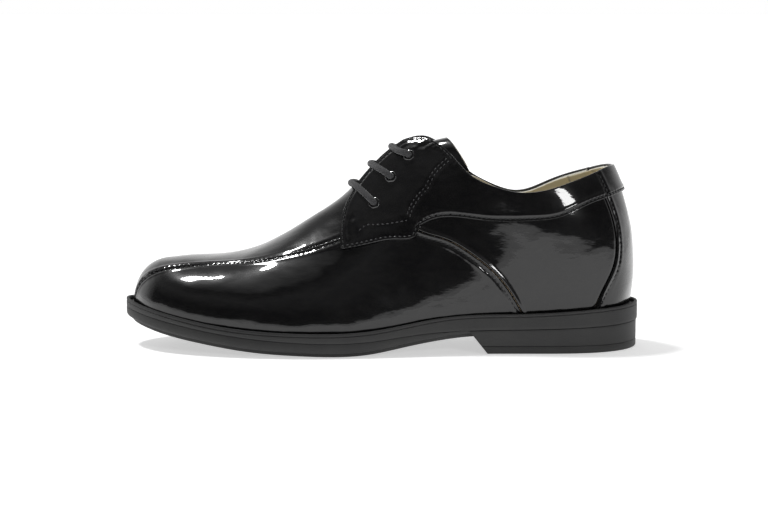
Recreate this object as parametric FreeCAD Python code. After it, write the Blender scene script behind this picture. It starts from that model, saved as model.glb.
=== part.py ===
"""Left lace-up dress shoe, open-laced, built as separate cut, moulded and turned pieces.

Units are millimetres.  The toe points to -X, the heel to +X, +Z is up and the lateral
(outer) side of the foot is -Y.  The origin is under the middle of the sole, on the floor.

Everything in the upper is laid out on one surface, the outer face of the leather.  It is
made of two halves, lateral and medial.  A point of a half has two coordinates: s runs from
0 at the toe tip to 1 at the back of the heel, and t runs from 0 at the feather edge, where
the upper meets the sole, to 1 at the ridge over the instep.  Seams are short lists of (s, t).
"""
import FreeCAD
import Part
import math
import os

# ---------------------------------------------------------------- driving dimensions
SOLE_LENGTH = 240.0
REFERENCE_LENGTH = 240.0          # the length that the tables of this file are written for
SCALE = SOLE_LENGTH / REFERENCE_LENGTH

LEATHER = 1.2 * SCALE             # outer leather
STIFFENER = 0.8 * SCALE           # toe puff, heel counter and quarter stays
LINING = 0.8 * SCALE              # lining leather
LAYER_GAP = 0.08 * SCALE          # between stacked layers
SEAM_GAP = 0.0006                 # half the gap between panels that meet edge to edge, in s or t

RIM_HEIGHT = 1.8 * SCALE          # the sole's rim stands this high above the seat of the upper
RIM_WIDTH = 1.4 * SCALE
FEATHER_DROP = 1.6 * SCALE        # the leather ends this far under the top of the rim
HEEL_BREAST_TOP = 40.0 * SCALE    # x where the heel's front face meets the sole
HEEL_BREAST_FOOT = 48.6 * SCALE   # and where it meets the floor
HEEL_INSET = 0.5 * SCALE
TOP_PIECE_THICKNESS = 3.6 * SCALE
TREAD_INSET = 3.0 * SCALE
RIB_COUNT = 12
RIB_START = -108.0 * SCALE        # x of the first groove between the ribs
RIB_PITCH = 8.5 * SCALE
RIB_GROOVE = 2.6 * SCALE
RIB_DEPTH = 1.0 * SCALE
POCKET_DEPTH = 1.6 * SCALE        # pockets in the sole for the bottom filler and the shank
FILLER_INSET = 12.0 * SCALE       # from the sole's edge
FILLER_SPAN = (-98.0 * SCALE, -26.0 * SCALE)
SHANK_SPAN = (-21.0 * SCALE, 63.0 * SCALE)
SHANK_WIDTH = 13.0 * SCALE
SHANK_THICKNESS = 1.2 * SCALE
POCKET_CLEARANCE = 0.4 * SCALE    # round the piece in a pocket
INSOLE_LAYERS = [("insole_board", 1.8 * SCALE), ("insole_foam", 2.0 * SCALE),
                 ("sock_lining", 0.8 * SCALE)]
INSOLE_CLEARANCE = 0.35 * SCALE   # inside the linings
FIT_GAP = 0.05 * SCALE            # between stacked sole and insole pieces
BOND_GAP = 0.02 * SCALE           # between bonded sole pieces

LACE_DIAMETER = 3.2 * SCALE
EYELET_BORE = 2.05 * SCALE        # radius
EYELET_WALL = 0.35 * SCALE
EYELET_FLANGE = 3.0 * SCALE       # radius
EYELET_BARREL = (-0.4 * SCALE, 1.5 * SCALE)       # its ends, as offsets from the leather surface
EYELET_BACK = (-0.45 * SCALE, -0.2 * SCALE)       # the flange's two faces
EYELET_CLEARANCE = 0.03 * SCALE
AGLET_LENGTH = 16.0 * SCALE
AGLET_RADIUS = 0.45 * LACE_DIAMETER
TONGUE_DROP = 4.5 * SCALE         # the tongue lies this far under the leather surface
TONGUE_LEATHER = 1.0 * SCALE
TONGUE_LINING = 0.95 * SCALE

LATERAL = -1
MEDIAL = 1
SIDE_NAMES = {LATERAL: "lateral", MEDIAL: "medial"}


# ---------------------------------------------------------------- curves
def spline(xs, ys, clamped=False):
    """Cubic spline through the points, as a function; clamped means level at both ends."""
    n = len(xs)
    h = [xs[i + 1] - xs[i] for i in range(n - 1)]
    lower = [0.0] * n
    middle = [1.0] * n
    upper = [0.0] * n
    right = [0.0] * n
    for i in range(1, n - 1):
        lower[i] = h[i - 1]
        middle[i] = 2 * (h[i - 1] + h[i])
        upper[i] = h[i]
        right[i] = 6 * ((ys[i + 1] - ys[i]) / h[i] - (ys[i] - ys[i - 1]) / h[i - 1])
    if clamped:
        middle[0] = 2 * h[0]
        upper[0] = h[0]
        right[0] = 6 * (ys[1] - ys[0]) / h[0]
        lower[-1] = h[-1]
        middle[-1] = 2 * h[-1]
        right[-1] = -6 * (ys[-1] - ys[-2]) / h[-1]
    for i in range(1, n):
        factor = lower[i] / middle[i - 1]
        middle[i] -= factor * upper[i - 1]
        right[i] -= factor * right[i - 1]
    bend = [0.0] * n
    bend[-1] = right[-1] / middle[-1]
    for i in range(n - 2, -1, -1):
        bend[i] = (right[i] - upper[i] * bend[i + 1]) / middle[i]

    def value(x):
        i = 0
        while i < n - 2 and x > xs[i + 1]:
            i += 1
        after = x - xs[i]
        before = xs[i + 1] - x
        cubic = (bend[i] * before ** 3 + bend[i + 1] * after ** 3) / (6 * h[i])
        left = (ys[i] / h[i] - bend[i] * h[i] / 6) * before
        return cubic + left + (ys[i + 1] / h[i] - bend[i + 1] * h[i] / 6) * after

    return value


def scaled(pairs):
    """Spline through hand-chosen (x, height) pairs, at the shoe's scale."""
    return spline([x * SCALE for x, _ in pairs], [z * SCALE for _, z in pairs])


def smooth(value):
    value = min(1.0, max(0.0, value))
    return value * value * (3 - 2 * value)


def seam(points):
    """Smooth curve through (s, t) points; its own parameter runs from 0 to 1."""
    reach = [0.0]
    for (s0, t0), (s1, t1) in zip(points, points[1:]):
        reach.append(reach[-1] + math.hypot(3 * (s1 - s0), t1 - t0))
    reach = [value / reach[-1] for value in reach]
    s_of = spline(reach, [point[0] for point in points])
    t_of = spline(reach, [point[1] for point in points])
    return lambda a: (s_of(a), t_of(a))


def shifted(curve, ds, dt):
    return lambda a: (curve(a)[0] + ds, curve(a)[1] + dt)


def part_of(curve, start, end):
    return lambda a: curve(start + (end - start) * a)


def straight(start, end):
    return lambda a: (start[0] + (end[0] - start[0]) * a, start[1] + (end[1] - start[1]) * a)


# ---------------------------------------------------------------- sole heights along x
SOLE_TOP = scaled([(-120, 22.3), (-100, 18.3), (-80, 14.7), (-58, 12.2), (-36, 11.2), (-5, 11.9),
                   (10, 14.2), (26, 16.9), (42, 18.2), (65, 18.6), (97, 20.3), (120, 21.4)])
PARTING = scaled([(-120, 18.2), (-100, 14.6), (-81, 11.4), (-58, 8.5), (-36, 6.9), (-5, 7.1),
                  (10, 8.9), (26, 10.4), (40, 10.9), (65, 11.3), (120, 12.9)])
WALL_FOOT = scaled([(-120, 14.2), (-100, 9.9), (-81, 6.8), (-58, 3.8), (-36, 2.45), (-5, 2.8),
                    (10, 5.5), (26, 8.2), (40, 9.7), (60, 9.9)])
# the tread stands this far under the lower edge of the side wall, and its lowest line is the floor
TREAD_STEP = min(WALL_FOOT(x * SCALE) for x in range(-60, 10))

# sole edge in plan, round from the toe tip along the lateral side, over the heel and back
SOLE_PLAN = [(-120, 3), (-112.5, -15), (-99, -27.5), (-80, -36.5), (-60, -41.7), (-38, -43.8),
             (-18, -42.8), (5, -38.8), (28, -33.8), (52, -31.3), (78, -31.3), (98, -28.5),
             (113, -18.5), (120, 0), (113, 18.5), (98, 28.5), (78, 30.3), (52, 28.3), (28, 28.5),
             (5, 33.5), (-18, 39.2), (-38, 42.3), (-60, 41.6), (-80, 37.2), (-99, 29.5),
             (-112.5, 19.5)]

# ---------------------------------------------------------------- the leather surface
STATION_COUNT = 13
STATIONS = [k / STATION_COUNT for k in range(STATION_COUNT + 1)]


def along_shoe(values, scale=SCALE):
    return spline(STATIONS, [value * scale for value in values], clamped=True)


FEATHER_X = along_shoe([-116.2, -113.2, -104.5, -90, -70, -47, -22, 4, 30, 58, 84, 104, 113, 116.3])
FEATHER_Y = {
    LATERAL: spline(STATIONS, [y * SCALE for y in (3, -9.4, -21.3, -30.3, -36.6, -39.9, -39.6, -35.8,
                                                   -31, -28.3, -28, -22.5, -12.8, 0)]),
    MEDIAL: spline(STATIONS, [y * SCALE for y in (3, 14.1, 24.6, 32.0, 37.6, 38.8, 36, 30,
                                                  25.5, 25.8, 27.2, 22.5, 12.8, 0)]),
}
RIDGE_XZ = [(-98, 41.2), (-97.5, 41.2), (-94.5, 41.5), (-87, 42), (-73, 42.7), (-55, 47.3),
            (-36, 58), (-17, 71), (1, 88.6), (22, 100), (47, 103), (72, 101.5), (87, 100.3),
            (92, 100)]
RIDGE_X = along_shoe([x for x, _ in RIDGE_XZ])
RIDGE_Z = along_shoe([z for _, z in RIDGE_XZ])
RIDGE_HEIGHT = scaled(RIDGE_XZ[1:])
RIDGE_Y = scaled([(-120, 3), (-60, 1.5), (0, 0), (60, 0), (120, 0)])
# the section at each station: how far out and how high its two side controls stand
WALL_OUT = along_shoe([1.2, 1.2, 1.5, 1.8, 2.2, 2.4, 2.2, 2.0, 2.0, 2.5, 3.0, 3.6, 4.2, 4.4])
WALL_UP = along_shoe([.33, .33, .33, .33, .33, .30, .26, .24, .22, .22, .22, .24, .25, .25], 1)
CHEST_OUT = along_shoe([-3, -3, -3.2, -4, -5.5, -8, -9.5, -9, -7, -3, 0, 2, 3, 3.2])
CHEST_UP = along_shoe([.80, .80, .80, .82, .84, .80, .72, .66, .60, .58, .58, .58, .58, .58], 1)
CROWN_REACH = along_shoe([9, 9, 10, 12, 16, 16, 14, 14, 15, 19, 26, 22, 14, 12])
TIP_TURN = 3 / STATION_COUNT      # over this much of s the crown turns from along to across
BINOMIAL = (1, 4, 6, 4, 1)
STEP = 0.002                      # for the derivatives
MIDDLE_BAND = 0.03                # beside the middle line, in s or t


def feather(side, s):
    x = FEATHER_X(s)
    return FreeCAD.Vector(x, FEATHER_Y[side](s), SOLE_TOP(x) - FEATHER_DROP)


def plan_normal(side, s):
    """Outward level direction at the feather edge."""
    before = max(0.0, s - STEP / 2)
    after = min(1.0, s + STEP / 2)
    dx = FEATHER_X(after) - FEATHER_X(before)
    dy = FEATHER_Y[side](after) - FEATHER_Y[side](before)
    length = math.hypot(dx, dy)
    return FreeCAD.Vector(-side * dy / length, side * dx / length, 0)


def ridge_slope(x):
    low = (RIDGE_XZ[1][0] + 0.5) * SCALE
    high = (RIDGE_XZ[-1][0] - 0.5) * SCALE
    x = min(max(x, low), high)
    half = 0.5 * SCALE
    return (RIDGE_HEIGHT(x + half) - RIDGE_HEIGHT(x - half)) / (2 * half)


def section(side, s):
    """The five control points of the section curve at s, from the feather to the ridge."""
    foot = feather(side, s)
    out = plan_normal(side, s)
    ridge = FreeCAD.Vector(RIDGE_X(s), RIDGE_Y(RIDGE_X(s)), RIDGE_Z(s))
    height = ridge.z - foot.z
    level = FreeCAD.Vector(ridge.x - foot.x, ridge.y - foot.y, 0)
    sideways = level - out * level.dot(out)
    wall = foot + out * WALL_OUT(s) + sideways * 0.12
    wall.z = foot.z + height * WALL_UP(s)
    chest = foot + out * CHEST_OUT(s) + sideways * 0.45
    chest.z = foot.z + height * CHEST_UP(s)
    turn = math.sin(min(s, 1 - s, TIP_TURN) / TIP_TURN * math.pi / 2) * math.pi / 2
    slope = ridge_slope(ridge.x)
    tangent = FreeCAD.Vector(1, 0, slope).normalize()
    if s < 0.5:
        tangent = tangent * -1
    crown = ridge + (tangent * math.cos(turn) + FreeCAD.Vector(0, side * math.sin(turn), 0)) * CROWN_REACH(s)
    return foot, wall, chest, crown, ridge


def surface(side, s, t):
    total = FreeCAD.Vector()
    for i, point in enumerate(section(side, s)):
        total += point * (BINOMIAL[i] * t ** i * (1 - t) ** (4 - i))
    return total


def rise(side, s, t):
    """Step up the section curve."""
    return surface(side, s, min(1.0, t + STEP)) - surface(side, s, max(0.0, t - STEP))


def outward(side, s, t):
    """Unit normal of the leather surface, pointing out of the shoe.

    On the middle line, where the two halves meet, it lies in the middle plane; beside that
    line it is blended with the normal a little further out.
    """
    s_out = min(max(s, MIDDLE_BAND), 1 - MIDDLE_BAND)
    t_out = min(t, 1 - MIDDLE_BAND)
    along = surface(side, s_out + STEP, t_out) - surface(side, s_out - STEP, t_out)
    normal = (along.cross(rise(side, s_out, t_out)) * -side).normalize()
    near = min(s, 1 - s, 1 - t)
    if near >= MIDDLE_BAND:
        return normal
    if near == 1 - t:
        up = FreeCAD.Vector(1, 0, ridge_slope(RIDGE_X(s)))
        middle = FreeCAD.Vector(-up.z, 0, up.x)
    else:
        up = rise(side, round(s), t)
        middle = FreeCAD.Vector(up.z, 0, -up.x) * (1 if s > 0.5 else -1)
    share = near / MIDDLE_BAND
    return (normal * share + middle.normalize() * (1 - share)).normalize()


def layer_point(side, s, t, offset):
    return surface(side, s, t) + outward(side, s, t) * offset


# ---------------------------------------------------------------- panels
def spline_poles(points):
    """Poles of the even cubic spline through a row of points, free at its ends."""
    count = len(points)
    pivots = [0.0] * count
    bends = [FreeCAD.Vector() for _ in points]
    for i in range(1, count - 1):
        pivots[i] = 1 / (4 - pivots[i - 1])
        change = (points[i + 1] - points[i] * 2 + points[i - 1]) * 6
        bends[i] = (change - bends[i - 1]) * pivots[i]
    for i in range(count - 3, 0, -1):
        bends[i] = bends[i] - bends[i + 1] * pivots[i]
    first = points[0] + (points[1] - points[0] - bends[1] * (1 / 6)) * (1 / 3)
    last = points[-1] + (points[-2] - points[-1] - bends[-2] * (1 / 6)) * (1 / 3)
    inside = [point - bend * (1 / 6) for point, bend in zip(points[1:-1], bends[1:-1])]
    return [points[0], first] + inside + [last, points[-1]]


def spline_surface(points):
    """Smooth surface through a grid of points."""
    by_row = [spline_poles(row) for row in points]
    by_column = [spline_poles(list(column)) for column in zip(*by_row)]
    poles = [list(row) for row in zip(*by_column)]
    knots = []
    multiplicities = []
    for spans in (len(points) - 1, len(points[0]) - 1):
        knots.append([float(k) for k in range(spans + 1)])
        multiplicities.append([4] + [1] * (spans - 1) + [4])
    skin = Part.BSplineSurface()
    skin.buildFromPolesMultsKnots(poles, multiplicities[0], multiplicities[1], knots[0], knots[1],
                                  False, False, 3, 3)
    return skin


def solid_between(outer_points, inner_points):
    """Closed solid between two grids of points, with ruled edges."""
    outer = spline_surface(outer_points)
    inner = spline_surface(inner_points)
    faces = [outer.toShape(), inner.toShape()]
    for bound in range(4):
        edges = []
        for skin in (outer, inner):
            u0, u1, v0, v1 = skin.bounds()
            iso = (skin.uIso(u0), skin.uIso(u1), skin.vIso(v0), skin.vIso(v1))[bound]
            edges.append(iso.toShape())
        faces.append(Part.makeRuledSurface(edges[0], edges[1]))
    shell = Part.makeShell(faces)
    shell.sewShape()
    solid = Part.makeSolid(shell)
    if solid.Volume < 0:
        solid.reverse()
    return solid


def layer(place, columns, rows, inner, outer):
    """Solid layer over a patch: place(a, b) gives (side, s, t); inner and outer are offsets."""
    grids = ([], [])
    for i in range(columns + 1):
        rows_of = ([], [])
        for j in range(rows + 1):
            side, s, t = place(i / columns, j / rows)
            base = surface(side, s, t)
            normal = outward(side, s, t)
            for row, offset in zip(rows_of, (outer, inner)):
                amount = offset(s, t) if callable(offset) else offset
                row.append(base + normal * amount)
        for grid, row in zip(grids, rows_of):
            grid.append(row)
    return solid_between(grids[0], grids[1])


def four_sided(side, left, right, bottom, top):
    """Patch inside four (s, t) curves; left and right run upwards, bottom and top run back."""
    def place(a, b):
        point = []
        for k in (0, 1):
            across = (1 - a) * left(b)[k] + a * right(b)[k]
            upward = (1 - b) * bottom(a)[k] + b * top(a)[k]
            corners = ((1 - a) * (1 - b) * bottom(0)[k] + a * (1 - b) * bottom(1)[k]
                       + (1 - a) * b * top(0)[k] + a * b * top(1)[k])
            point.append(across + upward - corners)
        return side, point[0], point[1]
    return place


RIDGE_EASE = 0.6                  # evens the rows out behind the toe tip, where s counts little
VAMP_CORNER = 0.23                # share of a long toe patch that goes up the front of the toe
PUFF_CORNER = 0.78                # and of the short one


def over_toe(edge, end, corner=VAMP_CORNER):
    """Patch over the toe and instep: b runs from the lateral edge over the ridge to the medial.

    The middle line goes up the front of the toe, s = 0, and back along the ridge, t = 1.
    edge is the outer (s, t) curve and end is the s where the middle line stops.
    """
    def place(a, b):
        if a < corner:
            middle = (0.0, a / corner)
        else:
            middle = (((a - corner) / (1 - corner)) ** RIDGE_EASE * end, 1.0)
        away = abs(2 * b - 1)
        s_edge, t_edge = edge(a)
        side = LATERAL if b < 0.5 else MEDIAL
        return side, middle[0] + (s_edge - middle[0]) * away, middle[1] + (t_edge - middle[1]) * away
    return place


def over_ridge(start, end, edge_t):
    """Patch across the ridge between two stations; edge_t(s) is its lower edge on each side."""
    def place(a, b):
        s = start + (end - start) * a
        side = LATERAL if b < 0.5 else MEDIAL
        return side, s, 1 - abs(2 * b - 1) * (1 - edge_t(s))
    return place


def round_heel(front, bottom, top):
    """Patch round the back of the heel: a runs from the lateral seam to the medial one.

    front(b) is the seam's (s, t), bottom(s) and top(s) are the lower and upper edges.
    """
    def place(a, b):
        away = abs(2 * a - 1)
        side = LATERAL if a < 0.5 else MEDIAL
        s_front, t_front = front(b)
        share_front = (t_front - bottom(s_front)) / (top(s_front) - bottom(s_front))
        share = b + (share_front - b) * away
        s = 1 + (s_front - 1) * away
        return side, s, bottom(s) + (top(s) - bottom(s)) * share
    return place


# seams, as (s, t) on both halves
TRAMLINE = seam([(.045, 0), (.058, .20), (.083, .40), (.14, .575), (.21, .665), (.30, .72),
                 (.39, .67), (.45, .625), (.505, .612), (.556, .60)])
TRAMLINE_KNEE = 0.30              # where the tramline turns from up the toe to back along it
VAMP_TOP = seam([(.556, .60), (.580, .572), (.604, .52)])
VAMP_TOP_SHARE = 0.16             # share of the vamp side's upper edge that lies behind the tramline
WAIST_SEAM = seam([(.712, 0), (.705, .12), (.696, .205), (.682, .28), (.665, .345),
                   (.646, .40), (.617, .463), (.604, .52)])
COUNTER_SEAM = seam([(.815, 0), (.838, .115), (.858, .19), (.874, .26), (.885, .345),
                     (.889, .43), (.889, .56)])
FACING_FRONT = seam([(.500, .544), (.506, .63), (.520, .74), (.545, .845), (.585, .905),
                     (.625, .925), (.655, .93)])
FACING_TOP = seam([(.655, .93), (.678, .90), (.693, .84), (.704, .77), (.709, .712)])
FACING_FOOT = seam([(.500, .544), (.538, .516), (.577, .478), (.606, .452), (.619, .487)])
FACING_REAR = straight((.619, .487), (.709, .712))
FACING_SHARE = 0.29               # share of the upper quarter's rows that the facing takes
BAND_FOOT = seam([(.619, .487), (.640, .494), (.704, .452), (.765, .438),
                  (.80, .446), (.854, .505), (.889, .53)])
TOPLINE = seam([(.709, .712), (.722, .625), (.740, .586), (.768, .556), (.792, .557),
                (.825, .584), (.855, .617), (.889, .650)])
TAB_SEAM = straight((.889, .53), (.889, .650))
HEEL_TOPLINE = spline([.85, .889, .93, 1.0], [.612, .650, .675, .685])
HEEL_BAND_FOOT = spline([.889, .94, 1.0], [.53, .548, .555])
LAP = 0.03                        # the lower quarter runs this far in t under the collar band
QUARTER_TOP = seam([(.604, .52), (.640, .524), (.704, .482), (.765, .468), (.80, .476),
                    (.854, .535), (.889, .56)])
VAMP_LINING_FOOT = straight((.03, 0), (.60, 0))
VAMP_LINING_END = 0.548
LINING_FRONT = straight((.603, 0), (.572, .60))
LINING_TOP = seam([(.572, .60), (.592, .56), (.62, .55), (.66, .60), (.70, .635), (.722, .618),
                   (.740, .582), (.768, .552), (.792, .553), (.825, .58), (.85, .608)])
LINING_REAR = straight((.85, 0), (.85, .608))
HEEL_LINING_FRONT = straight((.853, 0), (.853, .610))
PADDING_FOOT = seam([(.645, .535), (.704, .497), (.765, .483), (.80, .491), (.85, .545),
                     (.887, .575)])
PADDING_TOP = seam([(.66, .60), (.70, .635), (.722, .618), (.740, .582), (.768, .552),
                    (.792, .553), (.825, .58), (.85, .608), (.887, .645)])
EYELETS = [(.573, .688), (.612, .756), (.650, .812)]
VAMP_END = 0.556
TONGUE_START, TONGUE_END = 0.549, 0.718
TONGUE_EDGE = spline([TONGUE_START, .62, TONGUE_END], [.76, .745, .72])

# offsets from the leather surface, outermost first
BASE_INNER = -LEATHER
STAY_OUTER = BASE_INNER - LAYER_GAP
STAY_INNER = STAY_OUTER - STIFFENER
LINING_OUTER = STAY_INNER - LAYER_GAP
LINING_INNER = LINING_OUTER - LINING
FACING_LIFT = 0.55 * SCALE        # the facing stands off for the lining behind its eyelets
FACING_LINING = 0.45 * SCALE


def overlay_inner(s, t):
    """The overlay leather stands higher in the facing, where its lining is behind it."""
    return LAYER_GAP + FACING_LIFT * smooth((0.715 - s) / 0.05) * smooth((t - .45) / .12)


def overlay_outer(s, t):
    return overlay_inner(s, t) + LEATHER


def facing_lining_outer(s, t):
    return overlay_inner(s, t) - LAYER_GAP


def facing_lining_inner(s, t):
    return facing_lining_outer(s, t) - FACING_LINING


def quarter_upper_place(side):
    """The facing, then the collar, meeting on the line from the notch to the topline."""
    facing = four_sided(side, FACING_FRONT, FACING_REAR, FACING_FOOT, FACING_TOP)
    rear = shifted(TAB_SEAM, -SEAM_GAP, 0)
    collar = four_sided(side, FACING_REAR, rear, shifted_end(BAND_FOOT), shifted_end(TOPLINE))

    def place(a, b):
        if a < FACING_SHARE:
            return facing(a / FACING_SHARE, b)
        return collar((a - FACING_SHARE) / (1 - FACING_SHARE), b)

    return place


def shifted_end(curve):
    """The same curve, drawn back by the seam gap towards its far end."""
    return lambda a: (curve(a)[0] - SEAM_GAP * a, curve(a)[1])


def vamp_upper_edge(a):
    share = 1 - VAMP_TOP_SHARE
    if a < share:
        return TRAMLINE(TRAMLINE_KNEE + (1 - TRAMLINE_KNEE) * a / share)
    return VAMP_TOP((a - share) / VAMP_TOP_SHARE)


def upper_panels():
    """Outer leather pieces of the upper."""
    gap = SEAM_GAP
    nodes = {"vamp_centre_strip": layer(over_toe(shifted(TRAMLINE, 0, gap), VAMP_END), 36, 16,
                                        BASE_INNER, 0)}
    toe_rise = shifted(part_of(TRAMLINE, 0, TRAMLINE_KNEE), gap, -gap)
    upper_edge = shifted(vamp_upper_edge, gap, -gap)
    for side, name in SIDE_NAMES.items():
        waist_front = shifted(WAIST_SEAM, -gap, -gap)
        nodes["vamp_side_" + name] = layer(
            four_sided(side, toe_rise, waist_front, straight(toe_rise(0), waist_front(0)), upper_edge),
            40, 12, BASE_INNER, 0)
        waist_rear = shifted(WAIST_SEAM, gap, gap)
        counter_front = shifted(COUNTER_SEAM, -gap, gap)
        nodes["quarter_lower_" + name] = layer(
            four_sided(side, waist_rear, counter_front,
                       straight(waist_rear(0), counter_front(0)), shifted(QUARTER_TOP, 0, gap)),
            20, 14, BASE_INNER, 0)
        nodes["quarter_upper_" + name] = cut_holes(
            layer(quarter_upper_place(side), 44, 14, overlay_inner, overlay_outer), side)
    nodes["heel_counter_cover"] = layer(
        round_heel(shifted(COUNTER_SEAM, gap, 0), lambda s: 0.0,
                   lambda s: HEEL_BAND_FOOT(max(s, .889)) + LAP), 24, 16, BASE_INNER, 0)
    nodes["heel_tab"] = layer(
        round_heel(shifted(TAB_SEAM, gap, 0), HEEL_BAND_FOOT, HEEL_TOPLINE),
        16, 8, LAYER_GAP, LAYER_GAP + LEATHER)
    return nodes


def inner_panels():
    """Stiffeners, stays, padding and linings."""
    nodes = {
        "toe_puff": layer(over_toe(straight((.04, .03), (.22, .03)), .20, corner=PUFF_CORNER), 20, 14,
                          STAY_INNER, STAY_OUTER),
        "heel_counter_stiffener": layer(
            round_heel(straight((.84, .02), (.84, .42)), lambda s: 0.02,
                       lambda s: .42 + .08 * smooth((s - .84) / .1)), 20, 10, STAY_INNER, STAY_OUTER),
        "vamp_lining": layer(over_toe(VAMP_LINING_FOOT, VAMP_LINING_END), 36, 16,
                             LINING_INNER, LINING_OUTER),
        "heel_lining": layer(round_heel(HEEL_LINING_FRONT, lambda s: 0.0, HEEL_TOPLINE), 20, 12,
                             LINING_INNER, LINING_OUTER),
        "heel_tab_padding": layer(
            round_heel(straight((.892, .575), (.892, .645)),
                       lambda s: HEEL_BAND_FOOT(s) + LAP + .01, lambda s: HEEL_TOPLINE(s) - .004),
            14, 6, STAY_INNER, 0),
    }
    for side, name in SIDE_NAMES.items():
        nodes["quarter_stay_" + name] = layer(
            four_sided(side, straight((.62, .02), (.62, .42)), straight((.83, .02), (.83, .42)),
                       straight((.62, .02), (.83, .02)), straight((.62, .42), (.83, .42))),
            14, 8, STAY_INNER, STAY_OUTER)
        nodes["quarter_lining_" + name] = layer(
            four_sided(side, LINING_FRONT, LINING_REAR, straight((.603, 0), (.85, 0)), LINING_TOP),
            36, 12, LINING_INNER, LINING_OUTER)
        nodes["collar_padding_" + name] = layer(
            four_sided(side, straight((.645, .535), (.66, .60)), straight((.887, .575), (.887, .645)),
                       PADDING_FOOT, PADDING_TOP), 30, 6, STAY_INNER, 0)
        front = part_of(FACING_FRONT, .36, 1)
        foot = seam([front(0), (.545, .60), (.59, .555), (.618, .56)])
        nodes["facing_lining_" + name] = cut_holes(
            layer(four_sided(side, front, straight((.618, .56), (.709, .712)), foot, FACING_TOP),
                  20, 10, facing_lining_inner, facing_lining_outer), side)
    return nodes


def tongue():
    """The tongue hangs from the vamp's end, under the facings and the lace."""
    place = over_ridge(TONGUE_START, TONGUE_END, TONGUE_EDGE)
    top = -TONGUE_DROP
    middle = top - TONGUE_LEATHER
    return {
        "tongue_leather": layer(place, 16, 14, middle, top),
        "tongue_lining": layer(place, 16, 14, middle - LAYER_GAP - TONGUE_LINING, middle - LAYER_GAP),
    }


# ---------------------------------------------------------------- eyelets and lace
def eyelet_cylinder(side, spot, radius, low, high):
    """Cylinder along the surface normal at an eyelet, between two offsets."""
    axis = outward(side, *spot)
    return Part.makeCylinder(radius, high - low, surface(side, *spot) + axis * low, axis)


def cut_holes(panel, side):
    for spot in EYELETS:
        panel = panel.cut(eyelet_cylinder(side, spot, EYELET_BORE + EYELET_WALL + EYELET_CLEARANCE,
                                          -LACE_DIAMETER, 2 * LACE_DIAMETER))
    return panel


def eyelets(side):
    """Blind eyelets: the flange is behind the facing lining, the barrel stops under the face."""
    rings = []
    for spot in EYELETS:
        barrel = eyelet_cylinder(side, spot, EYELET_BORE + EYELET_WALL, *EYELET_BARREL)
        flange = eyelet_cylinder(side, spot, EYELET_FLANGE, *EYELET_BACK)
        bore = eyelet_cylinder(side, spot, EYELET_BORE, -LACE_DIAMETER, LACE_DIAMETER)
        rings.append(barrel.fuse(flange).cut(bore).removeSplitter())
    return Part.makeCompound(rings)


LACE_OVER = 4.0 * SCALE           # offset of the lace's middle over an eyelet
LACE_CROWN = 4.8 * SCALE          # and over the edge of the facing
LACE_UNDER = -1.9 * SCALE         # and under the facing
LACE_HUG = -5.4 * SCALE           # and inside the lining
BAR_SHOULDER = (-.003, .845)      # the bar's points, as steps in s from its eyelet, and t
BAR_MIDDLE = (-.007, 1.0)
ARC_REACH = 0.45                  # share of a straight run that a rounded corner may take


def lace_route():
    """(side, s, t, offset) points from one tail to the other, over three straight bars."""
    route = [(MEDIAL, .735, .395, LACE_HUG - 0.8 * SCALE), (MEDIAL, .700, .430, LACE_HUG),
             (MEDIAL, .665, .475, LACE_HUG), (MEDIAL, .632, .535, LACE_HUG),
             (MEDIAL, .600, .615, -3.6 * SCALE)]
    side = MEDIAL
    for s, t in EYELETS:
        shoulder = (s + BAR_SHOULDER[0], BAR_SHOULDER[1], LACE_CROWN)
        route.append((side, s, t, LACE_UNDER))
        route.append((side, s, t, LACE_OVER))
        route.append((side,) + shoulder)
        route.append((side, s + BAR_MIDDLE[0], BAR_MIDDLE[1], LACE_OVER))
        side = -side
        route.append((side,) + shoulder)
        route.append((side, s, t, LACE_OVER))
        route.append((side, s, t, LACE_UNDER))
    route += [(side, .668, .735, -2.3 * SCALE), (side, .684, .670, -4.4 * SCALE),
              (side, .700, .600, LACE_HUG), (side, .718, .530, LACE_HUG),
              (side, .742, .470, LACE_HUG - 0.3 * SCALE), (side, .768, .425, LACE_HUG - 1.2 * SCALE)]
    return [layer_point(*point) for point in route]


def rounded_path(points):
    """Straight runs joined by tangent arcs; each arc is as large as its two runs allow."""
    edges = []
    radii = []
    start = points[0]
    for before, corner, after in zip(points, points[1:], points[2:]):
        back = before - corner
        ahead = after - corner
        turn = math.pi - back.getAngle(ahead)
        reach = ARC_REACH * min(back.Length, ahead.Length)
        radius = reach / math.tan(turn / 2)
        radii.append(radius)
        back.normalize()
        ahead.normalize()
        bisector = (back + ahead).normalize()
        first = corner + back * reach
        last = corner + ahead * reach
        middle = corner + bisector * (radius / math.cos(turn / 2) - radius)
        edges.append(Part.LineSegment(start, first).toShape())
        edges.append(Part.Arc(first, middle, last).toShape())
        start = last
    edges.append(Part.LineSegment(start, points[-1]).toShape())
    return Part.Wire(edges), radii


def tube(path, radius):
    start = path.Edges[0].valueAt(path.Edges[0].FirstParameter)
    direction = path.Edges[0].tangentAt(path.Edges[0].FirstParameter)
    profile = Part.Wire([Part.makeCircle(radius, start, direction)])
    return path.makePipeShell([profile], True, False)


def lace():
    points = lace_route()
    path, radii = rounded_path(points)
    print("lace length %.1f, smallest bend radius %.2f" % (path.Length, min(radii)))
    aglets = []
    for tip, before in ((points[0], points[1]), (points[-1], points[-2])):
        along = (tip - before).normalize()
        aglets.append(Part.makeCylinder(AGLET_RADIUS, AGLET_LENGTH, tip, along))
    return {"lace": tube(path, LACE_DIAMETER / 2), "lace_aglets": Part.makeCompound(aglets)}


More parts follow.
